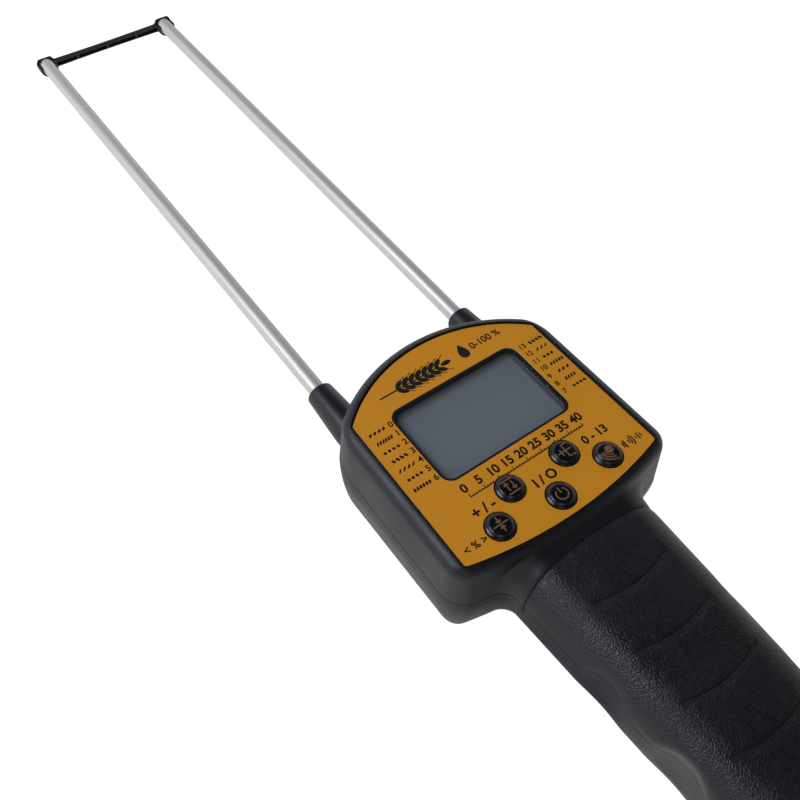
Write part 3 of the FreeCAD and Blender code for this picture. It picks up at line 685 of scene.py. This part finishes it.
def lcd_material():
    """Grey glass with a dark border at its right edge."""
    made, tree, shader = material("lcd_grey", (0.137, 0.17, 0.164), 0.16)
    place = place_of(tree, (1, 0.35, 1))
    tone = mapped(tree, noise(tree, place, 26, 1), 0.3, 0.7, 0, 1)
    glass = colour_mix(tree, tone, (0.128, 0.16, 0.155), (0.146, 0.18, 0.173))
    split = tree.nodes.new("ShaderNodeSeparateXYZ")
    tree.links.new(place_of(tree), split.inputs[0])
    border = mapped(tree, split.outputs["X"], LCD_BORDER_X * MM, (LCD_BORDER_X + 0.2) * MM, 0.0, 1.0)
    tree.links.new(colour_mix(tree, border, glass, (0.006, 0.006, 0.007)), shader.inputs["Base Color"])
    return made


def pane_material():
    made, _, shader = material("pane_clear", (0.6, 0.63, 0.64), 0.04)
    shader.inputs["Alpha"].default_value = 0.10
    made.surface_render_method = "BLENDED"
    return made


def steel_material(name, colour, roughness, stretch=(1, 0.012, 1), metallic=1.0):
    """Drawn steel with fine lines along its length."""
    made, tree, shader = material(name, colour, roughness, metallic=metallic)
    place = place_of(tree, stretch)
    lines = noise(tree, place, 2400, 3)
    smear = mapped(tree, noise(tree, place, 500, 2), 0.3, 0.7, roughness * 0.8, roughness * 1.3)
    tree.links.new(smear, shader.inputs["Roughness"])
    light = tuple(min(1, channel * 1.08) for channel in colour)
    dark = tuple(channel * 0.9 for channel in colour)
    drawn = colour_mix(tree, mapped(tree, lines, 0.3, 0.7, 0, 1), dark, light)
    tree.links.new(drawn, shader.inputs["Base Color"])
    add_bump(tree, shader, lines, 0.10, 0.00004)
    return made


def board_material():
    made, tree, shader = material("board_green", (0.012, 0.11, 0.045), 0.3)
    place = place_of(tree)
    tone = mapped(tree, noise(tree, place, 300, 4), 0.45, 0.55, 0, 1)
    green = colour_mix(tree, tone, (0.010, 0.095, 0.04), (0.02, 0.15, 0.06))
    tree.links.new(green, shader.inputs["Base Color"])
    return made


def cell_material():
    """Printed jacket: dark body with a copper-coloured band at one end."""
    made, tree, shader = material("cell_jacket", (0.02, 0.02, 0.022), 0.25, metallic=0.4)
    coordinates = node(tree, "ShaderNodeTexCoord")
    split = tree.nodes.new("ShaderNodeSeparateXYZ")
    tree.links.new(coordinates.outputs["Generated"], split.inputs[0])
    band = mapped(tree, split.outputs["Y"], 0.70, 0.71, 0, 1)
    jacket = colour_mix(tree, band, (0.02, 0.02, 0.022), (0.62, 0.25, 0.09))
    tree.links.new(jacket, shader.inputs["Base Color"])
    return made


HOUSING = housing_material()
LABEL = label_material()
LABEL_EDGE = plain_plastic("label_edge", (0.72, 0.52, 0.2), 0.4)
INK = plain_plastic("label_ink", (0.012, 0.010, 0.009), 0.4)
TAN = plain_plastic("key_symbol", (0.23, 0.125, 0.06), 0.4)
KEY_BLACK = plain_plastic("key_black", (0.006, 0.006, 0.007), 0.24, 900, 0.03)
COLLAR_BLACK = plain_plastic("collar_black", (0.009, 0.009, 0.0105), 0.36)
SPACER_BLACK = plain_plastic("spacer_black", (0.014, 0.014, 0.015), 0.4)
STEEL = steel_material("probe_steel", (0.74, 0.71, 0.63), 0.42, metallic=0.4)
SCREW_STEEL = steel_material("screw_steel", (0.30, 0.30, 0.31), 0.35, (1, 1, 1))
SLOT_MATERIALS = {
    "window": pane_material(),
    "lcd": lcd_material(),
    "lcd_frame": plain_plastic("lcd_frame_black", (0.01, 0.01, 0.011), 0.45),
    "reflector": plain_plastic("reflector_white", (0.7, 0.7, 0.66), 0.5),
    "elastomer": plain_plastic("elastomer_pink", (0.45, 0.3, 0.28), 0.7),
    "silicone": plain_plastic("silicone_grey", (0.12, 0.12, 0.125), 0.6),
    "carbon": plain_plastic("carbon_black", (0.012, 0.012, 0.012), 0.8),
    "board": board_material(),
    "chip": plain_plastic("chip_black", (0.015, 0.015, 0.016), 0.5),
    "can": steel_material("can_metal", (0.6, 0.6, 0.61), 0.3, (1, 1, 1)),
    "screw": SCREW_STEEL,
    "speaker_steel": steel_material("speaker_metal", (0.4, 0.4, 0.41), 0.35, (1, 1, 1)),
    "speaker_film": plain_plastic("speaker_film_brown", (0.09, 0.07, 0.03), 0.35),
    "wire": plain_plastic("wire_red", (0.28, 0.015, 0.012), 0.4),
    "terminal": steel_material("terminal_brass", (0.68, 0.48, 0.2), 0.3, (1, 1, 1)),
    "holder": plain_plastic("holder_black", (0.012, 0.012, 0.013), 0.45),
    "cell": cell_material(),
    "contact": steel_material("contact_nickel", (0.55, 0.54, 0.52), 0.3, (1, 1, 1)),
    "key": KEY_BLACK,
    "housing": HOUSING,
    "label": LABEL,
    "collar": COLLAR_BLACK,
    "probe": STEEL,
    "spacer": SPACER_BLACK,
}


def finish_cad_nodes():
    """Gives the CAD nodes that stay visible the finish of their slot."""
    for entry in frame["record"]["subparts"]:
        obj = frame["nodes"][entry["node"]]
        for slot in obj.material_slots:
            slot.material = SLOT_MATERIALS[entry["material_slot"]]


def piece(obj, look, body, slot, *replaced):
    """Finishes a visible piece: its look, the body it rides on and the CAD nodes it replaces. slot is not used.
    """
    obj.data.materials.clear()
    obj.data.materials.append(look)
    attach(obj, body)
    if replaced:
        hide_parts(*replaced)
    return obj


# ---- housing ---------------------------------------------------------------------------------

SCREWS = [(sign * x, y) for x, y in ((39.0, -70.0), (38.0, -110.0), (16.0, -146.0)) for sign in (-1, 1)]
BOSS_R = 4.2
SCREW_SEAT_Z = 8.0
SCREW_SINK_R = 3.1
COLLAR_BORE_R = 6.6
COLLAR_BORE_Y = (-52, 0)
GRILLE_PITCH = 3.4
GRILLE_HOLE_R = 0.9
SPEAKER_Y = (corners("speaker_frame")[0][1] + corners("speaker_frame")[1][1]) / 2
COVER_HALF = 15.0
COVER_WIDE_HALF = 17.0
COVER_WIDE_Y = -216.0
COVER_FRONT_Y = -163.0
COVER_NARROW_Z = 10.5
COVER_WIDE_Z = 12.0
COVER_GAP = 0.25
RIDGE_YS = (-172.0, -174.5, -177.0, -179.5, -182.0)
RAIL_Y = (-212, -168)
RAIL_INNER_X = 13.0
RAIL_WEB_X = 14.2
RAIL_LIP_X = 16.2
RAIL_LOW_Z = 3.4
RAIL_LIP_Z = 8.5
RAIL_TOP_Z = 9.5


def cylinder(name, x, y, z0, z1, radius, steps=48):
    return prism(name, circle(x, y, radius, steps), z0, z1)


def probe_bore(sign, radius, y0, y1):
    tool = turned("bore", [(0, y0), (radius, y0), (radius, y1), (0, y1)])
    return moved(along_y(tool), sign * PROBE_X, 0, PROBE_Z)


def mark_grain(obj):
    """Writes two values at each vertex: how strongly it is grained, and its distance from a groove."""
    points = np.empty(len(obj.data.vertices) * 3)
    obj.data.vertices.foreach_get("co", points)
    x, y, z = (points.reshape(-1, 3) / MM).T
    behind = ramp(y, grain_line(x) + 0.1, grain_line(x) - 0.5)
    above = ramp(z, PARTING_Z + 1.0, PARTING_Z + 5.0)
    clear = ramp(scallop_field(x, y, z, 0), 0.2, 1.4)
    strength = (behind * above * clear).astype(np.float32)
    near = groove_distance(x, y)
    near = near + np.sign(near) * 4 * ramp(z, WIDE_Z + 1, WIDE_Z - 1)
    groove = (near + 0.5 * near ** 3).astype(np.float32)
    for layer_name, values in (("grain", strength), ("groove", groove)):
        layer = obj.data.attributes.new(layer_name, "FLOAT", "POINT")
        layer.data.foreach_set("value", values)


def cover_tool(gap):
    """Space of the battery cover, less a gap all round."""
    narrow = block("narrow", -COVER_HALF + gap, COVER_HALF - gap, COVER_WIDE_Y - 5, COVER_FRONT_Y - gap,
                   -1, COVER_NARROW_Z)
    wide = block("wide", -COVER_WIDE_HALF + gap, COVER_WIDE_HALF - gap, END_Y - 5, COVER_WIDE_Y - gap,
                 -1, COVER_WIDE_Z - gap)
    return carved(narrow, "UNION", wide)


def grille_tools():
    """Round holes on a triangular grid over the speaker."""
    holes = []
    for row in range(-2, 3):
        for column in range(-2, 3):
            x = (column + 0.5 * row) * GRILLE_PITCH
            y = row * GRILLE_PITCH * math.sqrt(0.75)
            if math.hypot(x, y) < 2.2 * GRILLE_PITCH:
                holes.append(cylinder("hole", x, SPEAKER_Y + y, -1, WALL + 1, GRILLE_HOLE_R, 20))
    return holes


def make_housing():
    """One shell, cut at the parting line into the two housings and the battery door."""
    low = (-HEAD_HALF, END_Y, 0)
    high = (HEAD_HALF, UPPER_HIGH[1], TOP_Z)
    body = new_object("body", *field_surface(body_field, low, high, 0.62))
    cavity = new_object("cavity", *field_surface(cavity_field, low, high, 1.3))
    bosses = [cylinder("boss", x, y, -5, 60, BOSS_R) for x, y in SCREWS]
    cavity = carved(cavity, "DIFFERENCE", *bosses)
    shell = carved(body, "DIFFERENCE", cavity)

    far = 400
    upper = copy_of(shell, "upper_shell")
    upper = carved(upper, "INTERSECT", block("half", -far, far, -far, far, PARTING_Z + SEAM_GAP / 2, far))
    cuts = [prism("recess", label_outline(LABEL_GAP, LABEL_CORNER), LABEL_FLOOR, TOP_Z + 3),
            prism("sight", rounded_box(SIGHT_HALF, SIGHT_CORNER, WINDOW_Y), PANE_LOW[2] - 1, TOP_Z + 3)]
    cuts += [cylinder("key_hole", x, y, TOP_Z - WALL - 2, TOP_Z + 3, KEY_HOLE_R) for x, y in KEYS.values()]
    cuts += [probe_bore(sign, COLLAR_BORE_R, *COLLAR_BORE_Y) for sign in (-1, 1)]
    upper = carved(upper, "DIFFERENCE", *cuts)

    lower = copy_of(shell, "lower_shell")
    lower = carved(lower, "INTERSECT", block("half", -far, far, -far, far, -far, PARTING_Z - SEAM_GAP / 2))
    cuts = grille_tools()
    cuts += [cylinder("sink", x, y, -2, SCREW_SEAT_Z, SCREW_SINK_R) for x, y in SCREWS]
    cuts += [probe_bore(sign, COLLAR_BORE_R, *COLLAR_BORE_Y) for sign in (-1, 1)]
    cuts.append(cover_tool(0))
    lower = carved(lower, "DIFFERENCE", *cuts)

    door = carved(copy_of(shell, "battery_door_panel"), "INTERSECT", cover_tool(COVER_GAP))
    ridges = [block("ridge", -8, 8, y, y + 1, -1, 0.5) for y in RIDGE_YS]
    door = carved(door, "DIFFERENCE", *ridges)
    rails = []
    for sign in (-1, 1):
        web = sorted((sign * RAIL_INNER_X, sign * RAIL_WEB_X))
        lip = sorted((sign * RAIL_INNER_X, sign * RAIL_LIP_X))
        rails.append(block("web", *web, *RAIL_Y, RAIL_LOW_Z, RAIL_TOP_Z))
        rails.append(block("lip", *lip, *RAIL_Y, RAIL_LIP_Z, RAIL_TOP_Z))
    door = carved(door, "UNION", *rails)
    drop(shell)

    for obj, body_name, replaced in ((upper, "meter", "upper_housing"), (lower, "meter", "lower_housing"),
                                     (door, "battery_door", "battery_cover")):
        smoothed(obj, 32)
        mark_grain(obj)
        piece(obj, HOUSING, body_name, "housing", replaced)


# ---- face ------------------------------------------------------------------------------------

def make_label():
    sheet = prism("label_sheet", label_outline(0, LABEL_CORNER), LABEL_FLOOR, LABEL_TOP)
    below, above = LABEL_FLOOR - 1, LABEL_TOP + 1
    cuts = [prism("hole", rounded_box(WINDOW_HALF, WINDOW_CORNER, WINDOW_Y), below, above)]
    cuts += [cylinder("hole", x, y, below, above, KEY_HOLE_R, 64) for x, y in KEYS.values()]
    sheet = carved(sheet, "DIFFERENCE", *cuts)
    piece(sheet, LABEL, "meter", "label", "face_label")
    sheet.data.materials.append(LABEL_EDGE)
    for face in sheet.data.polygons:
        face.material_index = 1 if abs(face.normal.z) < 0.5 else 0
    smoothed(sheet, 35)


CROWN_R = 3.4
KEY_STEM_R = 3.0
KEY_FLANGE_R = 6.1
KEY_FLANGE_TOP = -1.9
KEY_R = 4.9

# Side of a key from its edge to its crown: radius, and height above the label
KEY_SIDE = [(KEY_R, 0.05), (4.72, 0.3), (4.3, 0.5), (4.05, 0.62), (3.92, 0.86), (3.72, 1.12)]


def dome_height(radius):
    """Height of a key's top above the label at a distance from its axis."""
    return 1.5 - 0.2 * (radius / CROWN_R) ** 2


def make_key(name):
    x, y = KEYS[name]
    crown = [(radius, dome_height(radius)) for radius in (CROWN_R, 2.8, 2.1, 1.4, 0.7, 0)]
    low, _ = corners("key_" + name)
    foot = low[2] - LABEL_TOP
    flange = low[2] + 3.7 - LABEL_TOP
    stem = [(0, foot), (KEY_STEM_R, foot), (KEY_STEM_R, flange), (KEY_FLANGE_R, flange),
            (KEY_FLANGE_R, KEY_FLANGE_TOP), (KEY_R, KEY_FLANGE_TOP)]
    cap = turned("key_cap_" + name, stem + KEY_SIDE + crown, 72)
    moved(cap, x, y, LABEL_TOP)
    smoothed(cap, 50)
    piece(cap, KEY_BLACK, name + "_key", "key", "key_" + name)


def make_skirt(name):
    """Silicone wall that springs the key back."""
    x, y = KEYS[name]
    low, high = corners("skirt_" + name)
    profile = [(5.9, low[2]), (6.3, low[2]), (4.7, high[2]), (4.3, high[2]), (5.9, low[2])]
    skirt = turned("key_skirt_" + name, profile, 64)
    moved(skirt, x, y, 0)
    smoothed(skirt, 30)
    piece(skirt, SLOT_MATERIALS["silicone"], "meter", "silicone", "skirt_" + name)
    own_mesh(skirt)


def ribbon(name, paths, width, height_at, thick=0.05):
    """Raised stroke along plan paths that follows a height function."""
    points = []
    faces = []
    for path in paths:
        line = []
        for a, b in zip(path, path[1:]):
            steps = max(1, int(math.dist(a, b) / 0.2))
            line += [(a[0] + (b[0] - a[0]) * i / steps, a[1] + (b[1] - a[1]) * i / steps) for i in range(steps)]
        line.append(path[-1])
        first = len(points)
        for i, (x, y) in enumerate(line):
            ahead = line[min(i + 1, len(line) - 1)]
            behind = line[max(i - 1, 0)]
            dx, dy = ahead[0] - behind[0], ahead[1] - behind[1]
            length = math.hypot(dx, dy)
            nx, ny = -dy / length * width / 2, dx / length * width / 2
            for sx, rise in ((1, -thick), (-1, -thick), (-1, thick), (1, thick)):
                px, py = x + sx * nx, y + sx * ny
                points.append((px, py, height_at(px, py) + rise))
        for i in range(len(line) - 1):
            a = first + 4 * i
            for j in range(4):
                k = (j + 1) % 4
                faces.append([a + j, a + k, a + 4 + k, a + 4 + j])
        end = first + 4 * (len(line) - 1)
        faces.append([first + 3, first + 2, first + 1, first])
        faces.append([end, end + 1, end + 2, end + 3])
    return new_object(name, points, faces)


def arc_path(x, y, radius, start, end, steps=20):
    return [(x + radius * math.cos(math.radians(start + (end - start) * i / steps)),
             y + radius * math.sin(math.radians(start + (end - start) * i / steps))) for i in range(steps + 1)]


def arrow(x, y0, y1, head=0.75):
    """Paths of an arrow along Y, with its point at y1."""
    back = head if y1 < y0 else -head
    return [[(x, y0), (x, y1)], [(x - head, y1 + back), (x, y1), (x + head, y1 + back)]]


SYMBOL_SCALE = 1.16
KEY_SYMBOLS = {
    "power": [arc_path(0, -0.15, 1.75, 125, 415, 32), [(0, 0.1), (0, 2.1)]],
    "limit": [[(-2.4, 0), (2.4, 0)]] + arrow(0, 2.5, 0.55) + arrow(0, -2.5, -0.55),
    "adjust": [[(-2.0, -2.0), (2.0, -2.0)], [(-2.0, 2.2), (2.0, 2.2)]]
              + arrow(-0.95, -1.2, 1.5) + arrow(0.95, 1.5, -1.2),
    "varieties": [[(-2.5, 0), (0.1, 0)], [(0.1, -2.1), (0.1, 2.1)], [(0.1, 2.1), (2.2, 2.1)],
                  [(0.1, 0), (2.2, 0)], [(0.1, -2.1), (2.2, -2.1)], [(-1.2, -1.1), (-1.2, 1.1)]],
    "voice": [arc_path(0.8, 0.8, radius, 0, 350) for radius in (0.3, 0.7, 1.1)]
             + [arc_path(0.8, 0.8, radius, 175, 275) for radius in (1.9, 2.7, 3.5)],
}


def make_key_symbol(name):
    x, y = KEYS[name]
    paths = [[(SYMBOL_SCALE * u, SYMBOL_SCALE * v) for u, v in path] for path in KEY_SYMBOLS[name]]
    mark = ribbon("key_symbol_" + name, paths, 0.5, lambda u, v: dome_height(math.hypot(u, v)))
    moved(mark, x, y, LABEL_TOP)
    piece(mark, TAN, name + "_key", "key")


# ---- print on the label ----------------------------------------------------------------------

INK_Z = LABEL_TOP + 0.02
INK_T = 0.03


def letters(text, x, y, size, align="LEFT", weight=0.02):
    """Flat numbers and signs. weight thickens them by a share of their size."""
    curve = bpy.data.curves.new("digits", "FONT")
    curve.body = text
    curve.size = size * MM
    curve.align_x = align
    curve.align_y = "CENTER"
    curve.extrude = INK_T * MM / 2
    curve.offset = weight * size * MM
    temporary = bpy.data.objects.new("digits", curve)
    bpy.context.scene.collection.objects.link(temporary)
    bpy.context.view_layer.update()
    graph = bpy.context.evaluated_depsgraph_get()
    mesh = bpy.data.meshes.new_from_object(temporary.evaluated_get(graph))
    drop(temporary)
    made = bpy.data.objects.new("digits", mesh)
    bpy.context.scene.collection.objects.link(made)
    return moved(made, x, y, INK_Z)


def seed(x, y, angle, length, width):
    """Pointed seed outline."""
    points = []
    for i in range(24):
        turn = 2 * math.pi * i / 24
        u = length / 2 * math.cos(turn)
        v = width / 2 * math.sin(turn) * abs(math.sin(turn)) ** 0.4
        points.append((x + u * math.cos(angle) - v * math.sin(angle),
                       y + u * math.sin(angle) + v * math.cos(angle)))
    return prism("seed", points, INK_Z - INK_T / 2, INK_Z + INK_T / 2)


def drop_shape(x, y, size):
    """Water drop that points along +Y."""
    points = []
    for i in range(28):
        turn = 2 * math.pi * i / 28
        pinch = (1 - math.sin(turn)) / 2
        points.append((x + size * 0.5 * math.cos(turn) * pinch ** 0.55,
                       y + size * 0.62 * math.sin(turn) - size * 0.08))
    return prism("drop", points, INK_Z - INK_T / 2, INK_Z + INK_T / 2)


def stroke(paths, width):
    return ribbon("stroke", paths, width, lambda u, v: INK_Z, INK_T / 2)


def wheat_ear(x, y, length):
    """Ear of grain along +X: a stem with pairs of seeds."""
    marks = [stroke([[(x - length * 0.3, y), (x + length * 0.75, y)]], 0.6)]
    for i in range(7):
        at = x + length * (0.02 + 0.115 * i)
        for sign in (-1, 1):
            marks.append(seed(at + 1.2, y + sign * 1.6, sign * 0.6, 4.3, 1.9))
            marks.append(stroke([[(at + 2.9, y + sign * 2.7), (at + 4.8, y + sign * 3.8)]], 0.24))
    marks.append(seed(x + length * 0.87, y, 0, 4.3, 1.9))
    return marks


def seed_row(x0, x1, y, kind):
    """A row of seeds that stands for one crop. kind changes their length, width and lean."""
    shapes = [(1.7, 0.9, 0.8), (1.9, 0.75, 1.1), (1.2, 1.15, 0.0), (1.8, 1.0, -0.9), (2.0, 0.65, 0.8),
              (1.2, 1.2, 0.8), (1.6, 0.9, 1.3)]
    length, width, lean = shapes[kind % len(shapes)]
    pitch = max(length * math.cos(lean), width) + 0.22
    count = max(2, int((x1 - x0) / pitch))
    return [seed(x0 + (i + 0.5) * (x1 - x0) / count, y, lean, length, width) for i in range(count)]


ROWS = 7
LEFT_ROWS_Y, LEFT_PITCH = -61.0, 4.2
RIGHT_ROWS_Y, RIGHT_PITCH = -60.6, 3.9
SCALE_X, SCALE_Y, SCALE_PITCH = -23.6, -98.3, 5.95
BOLD = 0.034
WAVES_X, WAVES_Y = 31.2, -111.9


def crop_rows():
    """Rows of seeds beside the numbers 0 to 6 and 13 to 7."""
    marks = []
    for row in range(ROWS):
        y = LEFT_ROWS_Y - LEFT_PITCH * row
        marks.append(letters(str(row), -28.2, y, 3.3, "CENTER"))
        marks += seed_row(-37.2 + 0.5 * (row % 2), -30.2, y, row)
    for row in range(ROWS):
        y = RIGHT_ROWS_Y - RIGHT_PITCH * row
        marks.append(letters(str(13 - row), 28.2, y, 2.9, "LEFT"))
        marks += seed_row(32.4, 38.6 - 0.6 * (row % 3), y, row + 3)
    return marks


def printed_scale():
    """Scale from 0 to 40 under the display, with a tick for each unit."""
    marks = []
    for i in range(9):
        marks.append(letters(str(5 * i), SCALE_X + SCALE_PITCH * i, -94.7, 4.5, "CENTER", BOLD))
    marks.append(stroke([[(-23.8, SCALE_Y), (24.2, SCALE_Y)]], 0.4))
    for i in range(41):
        x = SCALE_X + SCALE_PITCH * i / 5
        tall = 1.3 if i % 5 == 0 else 0.7
        marks.append(stroke([[(x, SCALE_Y), (x, SCALE_Y + tall)]], 0.3))
    return marks


def voice_sign():
    """Small loudspeaker, three sound waves and three bars."""
    marks = [stroke([arc_path(WAVES_X, WAVES_Y, radius, -45, 45, 10)], 0.5) for radius in (1.0, 1.9, 2.8)]
    marks.append(stroke([[(29.6, -112.9), (29.6, -110.9)], [(30.4, -113.5), (30.4, -110.3)]], 0.6))
    for i, tall in enumerate((0.5, 1.3, 0.8)):
        marks.append(stroke([[(35.2 + i, WAVES_Y - tall), (35.2 + i, WAVES_Y + tall)]], 0.5))
    return marks


def make_print():
    marks = crop_rows() + wheat_ear(-18.0, -50.6, 24)
    marks += [drop_shape(11.0, -49.4, 5.2), letters("0-100 %", 14.4, -49.9, 4.0)]
    marks += printed_scale()
    marks.append(letters("< % >", -32.9, -112.4, 3.7, "CENTER"))
    marks.append(letters("+ / -", -23.0, -103.9, 5.0, "CENTER", BOLD))
    marks.append(letters("I / O", 0.2, -106.5, 4.8, "CENTER", BOLD))
    marks.append(letters("0 - 13", 24.8, -103.2, 4.4, "CENTER", BOLD))
    marks += voice_sign()
    piece(joined("label_print", marks), INK, "meter", "label")


# ---- probes ----------------------------------------------------------------------------------

ROD_WALL = 0.6
ROD_BORE = 6
TIP_BEVEL = 0.7
COLLAR_R = 6.5
COLLAR_TIP_R = 5.2
COLLAR_TAPER = 20


def make_probes():
    for name, sign in (("left", -1), ("right", 1)):
        inner = ROD_R - ROD_WALL
        profile = [(0, ROD_LOW[1] + ROD_BORE), (inner, ROD_LOW[1] + ROD_BORE), (inner, ROD_LOW[1]),
                   (ROD_R, ROD_LOW[1]), (ROD_R, ROD_HIGH[1] - TIP_BEVEL), (ROD_R - TIP_BEVEL, ROD_HIGH[1]),
                   (0, ROD_HIGH[1])]
        tube = turned("rod_tube_" + name, rounded_profile(profile, 0.5), 64)
        moved(along_y(tube), sign * PROBE_X, 0, PROBE_Z)
        smoothed(tube, 40)
        piece(tube, STEEL, "meter", "probe", "probe_rod_" + name)

        front = COLLAR_HIGH[1]
        back = COLLAR_LOW[1]
        profile = [(ROD_R, back), (COLLAR_R, back), (COLLAR_R, front - COLLAR_TAPER), (COLLAR_TIP_R, front),
                   (ROD_R + 0.02, front), (ROD_R, back)]
        collar = turned("collar_sleeve_" + name, rounded_profile(profile, 1.0, 7), 64)
        moved(along_y(collar), sign * PROBE_X, 0, PROBE_Z)
        smoothed(collar, 40)
        piece(collar, COLLAR_BLACK, "meter", "collar", "probe_collar_" + name)


def make_spacer():
    spacer = new_object("spacer_bar", *field_surface(spacer_field, SPACER_LOW, SPACER_HIGH, 0.24))
    smoothed(spacer, 50)
    piece(spacer, SPACER_BLACK, "meter", "spacer", "tip_spacer")


# Screw from its pan head to its point: radius, and height above the seat
SCREW_PROFILE = [(0, -2.0), (1.9, -2.0), (2.8, -1.2), (2.8, 0), (1.4, 0), (1.4, 24), (0, 25)]
CROSS_LONG = 1.6
CROSS_WIDE = 0.32
CROSS_TOP_Z = 7.2


def make_screws():
    screws = []
    for x, y in SCREWS:
        screw = turned("screw", rounded_profile(SCREW_PROFILE, 0.4), 40)
        moved(screw, x, y, SCREW_SEAT_Z)
        cross = [block("slot", x - along_x, x + along_x, y - in_y, y + in_y, 5, CROSS_TOP_Z)
                 for along_x, in_y in ((CROSS_LONG, CROSS_WIDE), (CROSS_WIDE, CROSS_LONG))]
        screws.append(carved(screw, "DIFFERENCE", *cross))
    whole = joined("back_screws", screws)
    smoothed(whole, 35)
    piece(whole, SCREW_STEEL, "meter", "screw", "housing_screws")


# ---- surroundings ----------------------------------------------------------------------------

CAMERA_PLACE = (-129.8, -200.67, 291.62)
LIGHT_AIM = (0, -0.08, 0.02)
FLOOR_Z = -0.2
FLOOR_SIDE = 6000
SHADE_CENTRE = (-0.03, -0.15, 0)
CAMERA_DEGREES = (36.5591, -0.8782, -35.8278)


def make_camera():
    lens = bpy.data.cameras.new("camera")
    lens.sensor_width = 36
    lens.lens = 40.72
    lens.clip_start = 0.01
    camera = bpy.data.objects.new("camera", lens)
    turn = Euler([math.radians(angle) for angle in CAMERA_DEGREES])
    camera.matrix_world = Matrix.LocRotScale(Vector(CAMERA_PLACE) * MM, turn, None)
    bpy.context.scene.collection.objects.link(camera)
    bpy.context.scene.camera = camera


def softbox(name, place, size, power, colour=(1, 1, 1)):
    """Rectangular light that faces the grip. Places and sizes are in metres."""
    light = bpy.data.lights.new(name, "AREA")
    light.shape = "RECTANGLE"
    light.size = size[0]
    light.size_y = size[1]
    light.energy = power
    light.color = colour
    lamp = bpy.data.objects.new(name, light)
    lamp.location = place
    lamp.rotation_euler = (Vector(LIGHT_AIM) - Vector(place)).to_track_quat("-Z", "Y").to_euler()
    bpy.context.scene.collection.objects.link(lamp)


def make_world():
    """White round the horizon, dim overhead and dimmer on the handle's side."""
    world = bpy.data.worlds.new("studio")
    world.use_nodes = True
    tree = world.node_tree
    coordinates = tree.nodes.new("ShaderNodeTexCoord")
    split = tree.nodes.new("ShaderNodeSeparateXYZ")
    shade = tree.nodes.new("ShaderNodeValToRGB")
    steps = [(0.0, (1, 1, 1)), (0.2, (0.95, 0.95, 1)), (0.45, (0.3, 0.3, 0.36)), (0.7, (0.015, 0.015, 0.018))]
    for place, colour in steps[2:]:
        shade.color_ramp.elements.new(place)
    for element, (place, colour) in zip(shade.color_ramp.elements, steps):
        element.position = place
        element.color = (*colour, 1)
    tree.links.new(coordinates.outputs["Generated"], split.inputs[0])
    tree.links.new(split.outputs["Z"], shade.inputs["Fac"])
    behind = mapped(tree, split.outputs["Y"], -0.6, 0.3, 0.25, 1.0)
    tree.links.new(behind, tree.nodes["Background"].inputs["Strength"])
    tree.links.new(shade.outputs["Color"], tree.nodes["Background"].inputs["Color"])
    bpy.context.scene.world = world


def make_floor():
    """White floor that lights the meter less than the camera sees, and least round the grip."""
    plan = ((-1, -1), (1, -1), (1, 1), (-1, 1))
    floor = new_object("floor", [(x * FLOOR_SIDE, y * FLOOR_SIDE, FLOOR_Z) for x, y in plan], [[0, 1, 2, 3]])
    made, tree, shader = material("floor_white", (0.35, 0.35, 0.35), 0.9)
    away = node(tree, "ShaderNodeVectorMath", operation="DISTANCE")
    tree.links.new(tree.nodes.new("ShaderNodeNewGeometry").outputs["Position"], away.inputs[0])
    away.inputs[1].default_value = SHADE_CENTRE
    shader.inputs["Emission Color"].default_value = (1, 1, 1, 1)
    glow = mapped(tree, away.outputs["Value"], 0.014, 0.040, 0.1, 0.56)
    seen = tree.nodes.new("ShaderNodeLightPath").outputs["Is Camera Ray"]
    glow = combined(tree, "MAXIMUM", glow, seen)
    tree.links.new(glow, shader.inputs["Emission Strength"])
    floor.data.materials.append(made)


def make_surroundings():
    make_floor()
    make_world()
    softbox("left_softbox", (-0.70, 0.36, 0.93), (0.7, 0.7), 9.2, (0.80, 0.83, 1))
    softbox("back_softbox", (-0.75, -1.15, 0.85), (0.8, 0.6), 2)
    bpy.context.scene.view_settings.view_transform = "Standard"


finish_cad_nodes()
make_camera()
make_surroundings()
make_housing()
make_label()
for key_name in KEY_NAMES:
    make_key(key_name)
    make_skirt(key_name)
    make_key_symbol(key_name)
make_print()
make_probes()
make_spacer()
make_screws()
